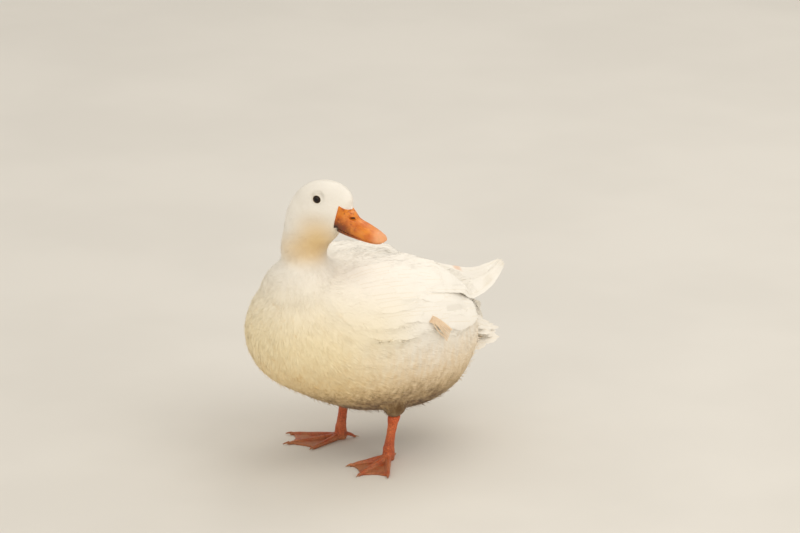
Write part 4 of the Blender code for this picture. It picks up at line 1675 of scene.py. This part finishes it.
@dataclass
class Tail:
    """The short worn tail with its coverts and the curled feathers over it.

    Args:
        fans: The fans, from the tail's own feathers up to the coverts above and then below.
        curls: What each curled feather passes through, in millimetres.
        curl_side: The way the curls' flat sides face.
        curl_width: A curl's width.
        bow: How far a tail feather's middle is bowed out, in millimetres.
        shape: One tail feather.
        curl_shape: One curled feather.
    """

    fans: tuple[TailFan, ...] = (
        TailFan(15, 24, (16, 142, 124), (52, 45), 11, (2, 8)),
        TailFan(13, 24, (18, 142, 130), (47, 40), 13, (5, 10)),
        TailFan(11, 25, (20, 138, 138), (42, 36), 17, (8, 12)),
        TailFan(9, 24, (20, 132, 148), (38, 33), 17, (10, 14)),
        TailFan(7, 22, (17, 124, 158), (36, 32), 17, (12, 16)),
        TailFan(11, 25, (19, 143, 118), (42, 37), 16, (-1, 2)),
        TailFan(11, 27, (22, 134, 111), (34, 28), 17, (-5, -2)),
        TailFan(11, 28, (25, 124, 103), (28, 24), 17, (-8, -5)),
        TailFan(9, 27, (26, 113, 95), (26, 22), 17, (-9, -6)),
    )
    curls: tuple = (
        ((5, 154, 128), (8, 172, 131), (5, 171, 144), (3, 169, 157)),
        ((-7, 150, 142), (-5, 168, 139), (-4, 177, 145), (-5, 173, 154)),
        ((1, 150, 143), (2, 166, 143), (3, 175, 149), (2, 171, 155)),
    )
    curl_side: Vector = Vector((0.8, -0.5, 0.3)).normalized()
    curl_width: float = 11 * MM
    bow: float = 1.5
    shape: RibbedFeather = RibbedFeather(
        18, ((0, 0.4), (0.3, 0.95), (0.65, 1.0), (0.85, 0.75), (0.95, 0.4), (1, 0.1)), 0.14,
    )
    curl_shape: RibbedFeather = RibbedFeather(16, ((0, 0.5), (0.4, 1.0), (0.75, 0.7), (1, 0.12)), 0.13)

    def build(self, skin: Skin) -> list[Piece]:
        """Lays the fans and the curls.

        Args:
            skin: The skin, for the places on the baking map.

        Returns:
            The two pieces.
        """
        chance = np.random.default_rng(31)
        paths, faces, widths = [], [], []
        for fan in self.fans:
            for k in range(fan.count):
                place = 2 * k / (fan.count - 1) - 1
                outer = place ** 2
                turn = math.radians(fan.spread * place)
                reach = fan.reach[0] + (fan.reach[1] - fan.reach[0]) * outer + chance.uniform(-4.5, 3)
                root = Vector((fan.root[0] * place, fan.root[1], fan.root[2] - 3 * outer + 0.7 * (k % 2)))
                tip = root + Vector((math.sin(turn), math.cos(turn), 0)) * reach
                tip.z -= fan.fall[0] + (fan.fall[1] - fan.fall[0]) * outer + chance.uniform(-1, 1)
                face = Vector((0.8 * place + chance.uniform(-0.08, 0.08), 0.1, 1)).normalized()
                path = []
                for share in np.linspace(0, 1, 6):
                    bowed = face * self.bow * 4 * share * (1 - share)
                    path.append(standing(*(root.lerp(tip, share) + bowed)))
                paths.append(path)
                faces.append([face] * len(path))
                widths.append(fan.width * MM * chance.uniform(0.92, 1.08))
        roots = [skin.face_map(skin.nearest(path[0])[2]) for path in paths]
        tail = Laying(paths, faces, widths, roots, 0.4).build(self.shape.build(), "tail_feathers")
        paths, faces = [], []
        for points in self.curls:
            path = [standing(*point) for point in curve([Vector(p) for p in points], 9)]
            ahead = [path[min(k + 1, 8)] - path[max(k - 1, 0)] for k in range(9)]
            paths.append(path)
            faces.append([
                self.curl_side - step * step.dot(self.curl_side) / step.length_squared for step in ahead
            ])
        roots = [skin.face_map(skin.nearest(path[0])[2]) for path in paths]
        curl_laying = Laying(paths, faces, [self.curl_width] * len(paths), roots, 0.7)
        return [tail, curl_laying.build(self.curl_shape.build(), "curled_feathers")]


@dataclass
class Quills:
    """The bare shafts of the left wing's cut flight feathers.

    Args:
        ends: Root and tip of the first and of the last, in millimetres.
        outward: The way out of the wing there.
        over: How far out of the wing's form root and tip lie, in millimetres.
        under: How far the shafts run on under the coverts at their roots, in millimetres.
        clear: How far they stay above the skin.
        count: How many show.
        radius: A shaft's radius.
    """

    ends: tuple = (((102, 27.5, 188.6), (105.5, 49, 171)), ((106, 20.5, 183.6), (98.3, 48, 154.2)))
    outward: Vector = Vector((0.97, 0.16, 0.16)).normalized()
    over: Pair = (0.8, -0.4)
    under: float = 5.0
    clear: float = 3.4 * MM
    count: int = 7
    radius: float = 1.0 * MM

    def build(self, skin: Skin) -> Piece:
        """Lays the shafts on the wing.

        Args:
            skin: The skin under the wing.

        Returns:
            Their piece.
        """
        paths, faces, roots = [], [], []
        for k in range(self.count):
            share = k / (self.count - 1)
            start, end = (Vector(one).lerp(Vector(other), share) for one, other in zip(*self.ends))
            start += self.outward * self.over[0]
            end += self.outward * self.over[1]
            hidden, out, face = skin.nearest(standing(*(start - (end - start).normalized() * self.under)))
            roots.append(skin.face_map(face))
            path = [hidden + out * self.radius]
            for step in range(4):
                place = standing(*start.lerp(end, step / 3))
                near, out, _ = skin.nearest(place)
                path.append(place + out * max(self.clear - (place - near).dot(out), 0))
            paths.append(path)
            faces.append([self.outward] * 5)
        shaft = Blade(6, 8, ((0, 0.55), (0.3, 0.8), (1, 1.0)), 1.0)
        laying = Laying(paths, faces, [self.radius * 2] * self.count, roots, 0.0)
        return laying.build(shaft.build(), "cut_quills")


@dataclass
class Bill:
    """The bill's two halves and the nail at its tip.

    Args:
        head: The head's frame.
        bare: Where the horn lies on the face.
        voxel: The size of the skin's faces.
        nail: Where the nail starts, and how far it stands out.
        shield: How far the horn on the face stands out, in millimetres.
        base: Up to where the bill's base is smoothed further, and how often.
        culmen: Half the width of the ridge along the top, and its height, in millimetres.
        comb: How close the fine ridges above the mouth stand, in radians a millimetre, and their height.
        dip: How far the culmen's middle is sunk, in millimetres.
        saddle: Where that is and how long it is, in millimetres forward.
    """

    head: HeadFrame
    bare: Bare
    voxel: float = 0.55 * MM
    nail: Pair = (50.5, 0.55)
    shield: float = 0.1
    base: tuple[float, int] = (26 * MM, 22)
    culmen: Pair = (3.2, 0.35)
    comb: Pair = (5.2, 0.12)
    dip: float = 4.2
    saddle: Pair = (27, 9.0)

    def build(self) -> list[Piece]:
        """Makes both halves.

        Returns:
            The upper and the lower half.
        """
        ways = self.head.axes()
        start = self.head.point(0, 0)
        pieces = []
        for node in ("bill_upper", "bill_lower"):
            upper = node == "bill_upper"
            bm = bmesh.new()
            add_node(bm, node)
            if upper:
                self.add_shield(bm)
            bm = remeshed(bm, self.voxel, 5)
            smooth(bm, [v for v in bm.verts if (v.co - start).dot(ways[0]) < self.base[0]], self.base[1])
            bm.normal_update()
            for vert in bm.verts:
                place = [(vert.co - start).dot(way) / MM for way in ways]
                facing = [vert.normal.dot(way) for way in ways]
                push, sink = self.form(place, facing, upper)
                vert.co += (vert.normal * push - ways[1] * sink) * MM
            bm.normal_update()
            pieces.append(piece_of(bm, node + "_horn", right=False))
        return pieces

    def form(self, place: list[float], facing: list[float], upper: bool) -> Pair:
        """The horn's fine form at a point.

        Args:
            place: How far forward, up and out of the right side it is, in millimetres.
            facing: The way out there, in the same three directions.
            upper: Whether it is on the upper half.

        Returns:
            How far it stands out and how far it sinks, in millimetres.
        """
        forward, up, out = place
        # Fine upright ridges along the mouth's edge.
        line = 1.0 - 0.27 * forward
        near = max(0.0, 1 - abs(up - line + 4) / 1.6) * (abs(facing[2]) > 0.4)
        push = self.comb[1] * near * math.sin(forward * self.comb[0]) * (8 < forward < 50)
        if not upper:
            return push, 0.0
        edge = (forward - self.nail[0]) / 2.0 - (abs(out) / 6.0) ** 2
        push += self.nail[1] * limited(edge) * (facing[1] > -0.2)
        ridge = max(0.0, 1 - (out / self.culmen[0]) ** 2) * limited((34 - forward) / 12)
        push += self.culmen[1] * ridge * (facing[1] > 0.2)
        middle, length = self.saddle
        sink = self.dip * math.exp(-((forward - middle) / length) ** 2) * limited((up + 2) / 16)
        # The horn's rear top lies under the forehead's feathers.
        above_edge = up + 1.0 - self.bare.top[0] + self.bare.top[1] * forward
        sink += max(above_edge, 0) * limited((self.bare.front + 1 - forward) / 4)
        return push, sink

    def add_shield(self, bm: Shape) -> None:
        """Adds the horn that runs up the face on both sides, from the head's own form.

        Args:
            bm: The upper half's shape.
        """
        along, above, _ = self.head.axes()
        face = bmesh.new()
        add_node(face, "head")
        for place, way in (
            (self.head.point(self.bare.edge[0], 0), -along + above * self.bare.edge[1]),
            self.bare.top_plane(),
            (self.head.point(0, -2), -above),
            (self.head.point(16.5, 0), along),
        ):
            cut_off(face, place, way)
        face.normal_update()
        for vert in face.verts:
            vert.co += vert.normal * self.shield * MM
        add_shape(bm, face)


@dataclass
class Eye:
    """An eyeball with its lids.

    Args:
        head: The head's frame.
        out: 1 on the head's right side, -1 on its left.
        at: The eye's place, forward and up from the gape.
        middle_out: How far the ball's middle is from the head's middle.
        radius: The eyeball's radius.
        opening: Half the lids' opening, along and up.
        lid: Half the lids' thickness.
        foot: How far from the eye's middle the lids meet the skin.
    """

    head: HeadFrame
    out: int
    at: Pair = EYE_PLACE
    middle_out: float = 15.0
    radius: float = 7.2
    opening: Pair = (4.9, 4.7)
    lid: float = 0.25
    foot: float = 9.0

    @property
    def letter(self) -> str:
        """The side of the head, as the nodes name it."""
        return "R" if self.out > 0 else "L"

    def middle(self) -> Vector:
        """The eyeball's middle."""
        return self.head.point(*self.at, self.out * self.middle_out)

    def outward(self) -> Vector:
        """The way the eye looks."""
        return self.head.axes()[2] * self.out

    def build_ball(self) -> Piece:
        """Makes the eyeball.

        Returns:
            Its piece.
        """
        bm = bmesh.new()
        bmesh.ops.create_uvsphere(bm, u_segments=40, v_segments=28, radius=self.radius * MM)
        turn = self.outward().to_track_quat("Z", "Y").to_matrix()
        bmesh.ops.rotate(bm, verts=bm.verts, matrix=turn)
        bmesh.ops.translate(bm, verts=bm.verts, vec=self.middle())
        return piece_of(bm, "eyeball_" + self.letter)

    def section(self, skin: Skin, turn: float, share: float) -> tuple[Vector, Vector]:
        """A place on the lids, which run from the opening out to the head's skin.

        Args:
            skin: The head's skin.
            turn: The way out from the opening, as an angle from forward to up.
            share: How far from the opening it is, from 0 to 1.

        Returns:
            The place, and the way out there.
        """
        along, above, _ = self.head.axes()
        outward = self.outward()
        way = along * math.cos(turn) + above * math.sin(turn)
        rim = math.hypot(math.cos(turn) * self.opening[0], math.sin(turn) * self.opening[1])
        rise = math.sqrt(self.radius ** 2 - rim ** 2)
        far = self.middle() + way * self.foot * MM
        hit, normal, _, _ = skin.tree.ray_cast(far + outward * 20 * MM, -outward)
        fall = (hit - far).dot(outward) / MM
        across = rim + (self.foot - rim) * share
        eased = share * share * (3 - 2 * share)
        depth = (rise + 0.3) * (1 - eased) + (fall - 1.1) * eased
        place = self.middle() + (way * across + outward * depth) * MM
        return place, (outward + way * 0.35).lerp(normal, share).normalized()

    def build_lids(self, skin: Skin) -> Piece:
        """Makes both lids by spinning their section, a rim and a band out to the skin, round the eye.

        Args:
            skin: The head's skin, which they run out to.

        Returns:
            The lids' piece.
        """
        bm = bmesh.new()
        made = bmesh.ops.create_circle(bm, cap_ends=False, segments=16, radius=1)
        edges = list({e for v in made["verts"] for e in v.link_edges})
        bmesh.ops.rotate(bm, verts=bm.verts, matrix=Matrix.Rotation(math.radians(90), 3, "X"))
        # The section's X, through the lid, lies round 1 and its Z runs over the ball.
        for vert in bm.verts:
            vert.co = (1 + 0.1 * vert.co.x, 0, vert.co.z)
        bmesh.ops.spin(
            bm, geom=[*bm.verts, *edges], cent=(0, 0, 0), axis=(0, 0, 1), dvec=(0, 0, 0),
            angle=math.tau, steps=48, use_merge=True, use_duplicate=False,
        )
        bmesh.ops.remove_doubles(bm, verts=bm.verts, dist=1e-4)
        for vert in bm.verts:
            turn = math.atan2(vert.co.y, vert.co.x)
            through = (math.hypot(vert.co.x, vert.co.y) - 1) / 0.1
            place, out = self.section(skin, turn, (vert.co.z + 1) / 2)
            vert.co = place + out * self.lid * through * MM
        return piece_of(bm, "lids_" + self.letter)


@dataclass
class LidFeathers:
    """Rings of tiny feathers over the lids, lying away from the opening and back over the head.

    Args:
        eye: The eye that they stand round.
        rings: How far from the opening each ring's roots are, as a share of the lids.
        count: How many feathers a ring has.
        length: A feather's length as a share of the lids, and its width in millimetres.
        lift: How high its root stands over the lids, and how much higher each further point.
    """

    eye: Eye
    rings: tuple[float, ...] = (0.07, 0.16, 0.26, 0.38, 0.50, 0.64, 0.80)
    count: int = 90
    length: Pair = (0.42, 0.7)
    lift: Pair = (0.28, 0.1)

    def build(self, skin: Skin) -> Piece:
        """Lays the rings.

        Args:
            skin: The head's skin.

        Returns:
            Their piece.
        """
        chance = np.random.default_rng(12)
        paths, faces, roots = [], [], []
        for ring in self.rings:
            for k in range(self.count):
                turn = math.tau * (k + chance.uniform(0, 1)) / self.count
                # The feathers sweep backwards round the eye.
                sweep = 0.35 * math.sin(turn)
                start = ring + chance.uniform(-0.05, 0.05)
                places = [
                    self.eye.section(skin, turn + sweep * step / 2, start + self.length[0] * step / 2)
                    for step in range(3)
                ]
                paths.append([
                    place + out * (self.lift[0] + self.lift[1] * step) * MM
                    for step, (place, out) in enumerate(places)
                ])
                faces.append([out for _, out in places])
                roots.append(skin.face_map(skin.nearest(places[0][0])[2]))
        laying = Laying(paths, faces, [self.length[1] * MM] * len(paths), roots, 0.8)
        return laying.build(FINE.build(), "lid_feathers_" + self.eye.letter)


@dataclass
class Leg:
    """A shank and webbed foot in one scaly skin, with its claws.

    Args:
        side: Which leg it is.
        voxel: The size of the skin's faces.
        ankle: The left ankle, in millimetres.
        step: The right leg's step, in millimetres.
        toes: How far each toe is turned inwards, in degrees, and its length.
        splay: How far the whole foot is turned outwards.
        spur: The same two for the hind toe, with the splay.
        claw: A claw's length and radius.
        hind: The hind claw's size as a share of the others'.
    """

    side: Side
    voxel: float = 0.75 * MM
    ankle: Triple = (50, -4, 16)
    step: Vector = Vector((4, 2, 0))
    toes: Pairs = ((33, 52), (2, 68), (-29, 63))
    splay: float = 22.0
    spur: Pair = (155, 20)
    claw: Pair = (8.0, 1.75)
    hind: float = 0.7

    def build_skin(self) -> Piece:
        """Makes the scaly skin of shank and foot.

        Returns:
            Its piece.
        """
        bm = bmesh.new()
        for node in ("shank_", "foot_"):
            add_node(bm, node + self.side.letter)
        bm = remeshed(bm, self.voxel, 4)
        for vert in bm.verts:
            # The sole stays flat on the floor.
            if vert.co.z < 0.9 * MM:
                vert.co.z = max(0.0, vert.co.z - 0.35 * MM)
        piece = piece_of(bm, "leg_" + self.side.letter, right=False)
        texture = bpy.data.textures.new("scutes", "VORONOI")
        texture.noise_scale = 0.0030
        scutes = piece.modifiers.new("scutes", "DISPLACE")
        scutes.texture = texture
        scutes.texture_coords = "LOCAL"
        scutes.direction = "NORMAL"
        scutes.mid_level = 0.35
        scutes.strength = -0.45 * MM
        mesh = evaluated(piece)
        old = piece.data
        piece.modifiers.clear()
        piece.data = mesh
        bpy.data.meshes.remove(old)
        mesh.shade_smooth()
        return piece

    def build_claws(self) -> Piece:
        """Makes the four claws, each a bent cone at a toe's tip.

        Returns:
            Their piece.
        """
        out = self.side.value
        step = self.step if self.side is Side.RIGHT else Vector()
        base = Vector((self.ankle[0] * out, self.ankle[1] - 1, 0)) + step
        bm = bmesh.new()
        length, radius = self.claw
        for turn, reach, size in [*((a - self.splay, r, 1.0) for a, r in self.toes), (*self.spur, self.hind)]:
            angle = out * math.radians(turn)
            heading = Vector((-math.sin(angle), -math.cos(angle), 0))
            before = len(bm.verts)
            made = bmesh.ops.create_cone(
                bm, cap_ends=True, segments=12, radius1=radius * size, radius2=0.25, depth=length * size,
            )
            edges = {
                e for v in made["verts"] for e in v.link_edges
                if abs(e.verts[0].co.z - e.verts[1].co.z) > 1
            }
            bmesh.ops.subdivide_edges(bm, edges=list(edges), cuts=4, use_grid_fill=True)
            for vert in list(bm.verts)[before:]:
                share = vert.co.z / (length * size) + 0.5
                across, up = vert.co.x * 0.8, vert.co.y
                middle = base + heading * (reach - 2.5 * size + share * length * size)
                height = max(2.6 * size - 1.5 * share ** 2 * size + up, 0.02)
                place = middle + Vector((-heading.y, heading.x, 0)) * across + Vector((0, 0, height))
                vert.co = place * MM + STAND
        return piece_of(bm, "claws_" + self.side.letter)


@dataclass(frozen=True)
class Light:
    """One soft square light.

    Args:
        name: Its name.
        way: Its place, as metres to the picture's right, up and back to the camera.
        size: The side of its square.
        power: Its power in watts.
        tint: Its colour.
    """

    name: str
    way: Triple
    size: float
    power: float
    tint: Triple = (1.0, 0.975, 0.94)

    def build(self, right: Vector, level: Vector) -> None:
        """Makes the light, which looks at the bird's middle.

        Args:
            right: The picture's right.
            level: The level way back to the camera.
        """
        data = bpy.data.lights.new(self.name, "AREA")
        data.size = self.size
        data.energy = self.power
        data.color = self.tint
        light = linked(self.name, data)
        aim = standing(0, 0, 170)
        light.location = aim + right * self.way[0] + Vector((0, 0, self.way[1])) + level * self.way[2]
        light.rotation_euler = (light.location - aim).to_track_quat("Z", "Y").to_euler()


@dataclass(frozen=True)
class Studio:
    """The floor, the lights and the camera.

    Args:
        azimuth: The camera's way round, in degrees: 0 looks along +Y.
        elevation: How far above it looks down from.
        distance: How far it is from what it looks at.
        feet_pixel: Where the picture shows the point between the feet.
        picture_size: The picture's width and height in pixels.
        pixel: What one pixel measures at the bird.
        lights: The lights.
    """

    azimuth: float = 51.0
    elevation: float = 18.0
    distance: float = 6.0
    feet_pixel: Pair = (365.5, 448.0)
    picture_size: tuple[int, int] = (800, 533)
    pixel: float = 1.22 * MM
    lights: tuple[Light, ...] = (
        Light("key", (1.5, 2.4, 1.1), 1.8, 21.0),
        Light("rim", (0.8, 2.5, -1.5), 1.6, 17.0),
        Light("fill", (-1.2, 0.6, 2.4), 2.2, 13.0, (1.0, 0.95, 0.87)),
        Light("side", (2.1, 0.1, 1.3), 1.6, 8.0),
    )

    def axes(self) -> tuple[Vector, Vector, Vector]:
        """The picture's own directions.

        Returns:
            The unit vectors to the right, up and back to the camera.
        """
        a, e = math.radians(self.azimuth), math.radians(self.elevation)
        right = Vector((math.cos(a), math.sin(a), 0))
        back = Vector((math.sin(a) * math.cos(e), -math.cos(a) * math.cos(e), math.sin(e)))
        return right, back.cross(right), back

    def target(self) -> Vector:
        """What the middle of the picture shows, in the plane through the feet's middle.

        Returns:
            The point.
        """
        right, up, _ = self.axes()
        width, height = self.picture_size
        return (
            STAND
            + right * (width / 2 - self.feet_pixel[0]) * self.pixel
            + up * (self.feet_pixel[1] - height / 2) * self.pixel
        )

    def build_camera(self) -> None:
        """Sets up the camera."""
        right, up, back = self.axes()
        data = bpy.data.cameras.new("camera")
        camera = linked("camera", data)
        turn = Matrix((right, up, back)).transposed().to_4x4()
        camera.matrix_world = Matrix.Translation(self.target() + back * self.distance) @ turn
        data.sensor_width = 36.0
        data.lens = data.sensor_width * self.distance / (self.picture_size[0] * self.pixel)
        data.clip_end = 60.0
        bpy.context.scene.camera = camera

    def build_floor(self) -> None:
        """Makes the plain pale floor."""
        bm = bmesh.new()
        bmesh.ops.create_grid(bm, x_segments=1, y_segments=1, size=25)
        floor = piece_of(bm, "floor")
        finish = PlainFinish("pale floor", colour(214, 210, 202), colour(218, 214, 206), 3.0, 0.9)
        floor.data.materials.append(finish.build())

    def build_sky(self) -> None:
        """Makes the pale light from all round."""
        world = bpy.data.worlds.new("studio")
        bpy.context.scene.world = world
        world.use_nodes = True
        sky = world.node_tree.nodes["Background"]
        sky.inputs["Color"].default_value = colour(254, 249, 241)
        sky.inputs["Strength"].default_value = 0.78
        bpy.context.scene.view_settings.view_transform = "Standard"

    def build(self) -> None:
        """Makes floor, lights and camera."""
        self.build_camera()
        self.build_floor()
        right, _, back = self.axes()
        level = Vector((back.x, back.y, 0)).normalized()
        for light in self.lights:
            light.build(right, level)
        self.build_sky()


FINE = Blade(3, 3, ((0, 0.45), (0.45, 1.0), (1, 0.12)), 0.18)
LOCK = Blade(4, 3, ((0, 0.35), (0.35, 0.9), (0.7, 0.9), (1, 0.08)), 0.15)
WISP = Blade(4, 3, ((0, 0.5), (0.4, 1.0), (0.8, 0.5), (1, 0.08)), 0.3)

HEAD_LENGTHS = ((0, 3.2 * MM), (0.02, 4.2 * MM), (0.05, 5.6 * MM), (0.09, 7.5 * MM), (0.13, 9.5 * MM))
BODY_LENGTHS = ((0.08, 8 * MM), (0.12, 10.5 * MM), (0.2, 13 * MM), (0.3, 15 * MM), (0.45, 18 * MM))
WISP_LENGTHS = ((0.06, 4 * MM), (0.12, 7 * MM), (0.25, 10 * MM), (0.45, 14 * MM))
WING_LENGTHS = ((0.1, 9 * MM), (0.2, 12 * MM), (0.45, 14 * MM))
THIGH_LENGTHS = ((0, 8 * MM), (1, 8 * MM))

LONG_FEATHERS = (
    LongFeathers(
        "flight_feathers_R",
        (((-52, 46, 216), (-78, 70, 168)), ((-41, 96, 198), (-58, 116, 158)),
         ((-24, 158, 180), (-36, 170, 146)), ((-8, 208, 187), (-12, 218, 176))),
        Vector((-0.85, 0.2, 0.35)), 6.0,
    ),
    LongFeathers(
        "flight_feathers_M",
        (((42, 34, 240), (87, 28, 219)), ((30, 100, 219), (73, 92, 203)), ((13, 146, 200), (58, 120, 187)),
         ((8, 176, 196), (24, 174, 180)), ((-4, 213, 198), (-6, 221, 184))),
        Vector((0.75, -0.25, 0.6)), 8.0, 16, 12 * MM, 0.4, 1.8 * MM,
    ),
)

# Limits on Y for the front and the rear of the body, and on X for its two sides.
FRONT, REAR = (1, -1, -0.06), (1, -0.06, 1)
LEFT, RIGHT = (0, 0, 1), (0, -1, 0)
body_coat = partial(Coat, shape=LOCK, lengths=BODY_LENGTHS, slender=0.13, layers=3.8, lift=0.03)

COATS = (
    Coat("coat_head", ("head",), FINE, HEAD_LENGTHS, 0.17, 2.6, 0.03, stray=0.10, seed=2),
    Coat("coat_neck", ("neck",), FINE, HEAD_LENGTHS, 0.16, 3.4, 0.035, stray=0.12, seed=3),
    body_coat("coat_breast_L", ("torso",), seed=4, region=(FRONT, LEFT)),
    body_coat("coat_breast_R", ("torso",), seed=14, region=(FRONT, RIGHT)),
    body_coat("coat_rear_L", ("torso", "tail"), seed=5, region=(REAR, LEFT)),
    body_coat("coat_rear_R", ("torso", "tail"), seed=15, region=(REAR, RIGHT)),
    Coat("coat_wing_L", ("wing_L",), LOCK, WING_LENGTHS, 0.16, 2.6, 0.02, seed=6),
    Coat("coat_wing_R", ("wing_R",), LOCK, WING_LENGTHS, 0.16, 2.6, 0.02, seed=7),
    Coat("coat_thighs", ("thigh_L", "thigh_R"), LOCK, THIGH_LENGTHS, 0.16, 5.0, 0.14, seed=8),
    Coat("down_front", ("torso", "neck"), WISP, WISP_LENGTHS, 0.06, 0.12, 0.2, 0.8 * MM, 0.35, 9, (FRONT,)),
    Coat("down_rear", ("torso", "tail"), WISP, WISP_LENGTHS, 0.06, 0.16, 0.2, 0.8 * MM, 0.35, 10, (REAR,)),
)


def settle(piece: Piece, slot: Slot, material: Material, *nodes: str) -> None:
    """Finishes a piece, hangs it under the body and hides the CAD nodes that it replaces.

    Args:
        piece: The piece.
        slot: Its material slot; not used.
        material: Its material.
        *nodes: The CAD nodes that it replaces.
    """
    piece.data.materials.clear()
    piece.data.materials.append(material)
    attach(piece, BODY)
    if nodes:
        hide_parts(*nodes)
    LOG.info("%s: %d faces", piece.name, len(piece.data.polygons))


def main() -> None:
    """Builds and dresses the whole bird, and sets the studio up."""
    logging.basicConfig(level=logging.INFO, format="%(relativeCreated)6.0f ms %(message)s")
    Studio().build()
    head = HeadFrame()
    marks, barbs = marks_and_painted_light_group(), barbs_group()
    coat_finish = PlumageFinish("small feathers").build(marks, barbs)
    ribbed_finish = PlumageFinish("ribbed feathers", dirt_and_painted_light=0.5, barbs=150.0).build(marks, barbs)
    tail_finish = PlumageFinish("tail feathers", dirt_and_painted_light=0.1, barbs=150.0).build(marks, barbs)
    skin_finish = PlumageFinish("feathered skin", sheen=0.0).build(marks, barbs)

    skin = Skin()
    bare = Bare(head)
    body = skin.build(bare)
    settle(body, Slot.PLUMAGE, skin_finish, *FLESH)
    for coat in COATS:
        settle(coat.build(skin, bare), Slot.PLUMAGE, coat_finish)
    for side in Side:
        settle(Wing(side).build(skin), Slot.PLUMAGE, ribbed_finish, "wing_" + side.letter)
    for feathers in LONG_FEATHERS:
        settle(feathers.build(skin), Slot.PLUMAGE, ribbed_finish, "wing_R")
    quill_finish = PlainFinish("cut quills", colour(244, 224, 196), colour(230, 200, 164), 260.0, 0.55, None)
    settle(Quills().build(skin), Slot.PLUMAGE, quill_finish.build(), "wing_L")
    for piece in Tail().build(skin):
        settle(piece, Slot.PLUMAGE, tail_finish, "tail")

    bill_finish = BillFinish(head).build()
    for piece in Bill(head, bare).build():
        settle(piece, Slot.BILL, bill_finish, piece.name.removesuffix("_horn"))
    lid_finish = PlainFinish("lid skin", colour(236, 222, 196), colour(214, 192, 158), 900.0, 0.7).build()
    for out in (1, -1):
        eye = Eye(head, out)
        finish = EyeFinish("eye_" + eye.letter, eye.middle() + eye.outward() * eye.radius * MM)
        settle(eye.build_ball(), Slot.EYE, finish.build(), "eye_" + eye.letter)
        settle(eye.build_lids(skin), Slot.PLUMAGE, lid_finish)
        settle(LidFeathers(eye).build(skin), Slot.PLUMAGE, coat_finish)
    leg_finish = LegFinish().build()
    claw_finish = PlainFinish("claw horn", colour(196, 168, 132), colour(150, 118, 86), 500.0, 0.45).build()
    for side in Side:
        leg = Leg(side)
        settle(leg.build_skin(), Slot.LEG, leg_finish, "shank_" + side.letter, "foot_" + side.letter)
        settle(leg.build_claws(), Slot.CLAW, claw_finish)


if __name__ == "__main__":
    main()
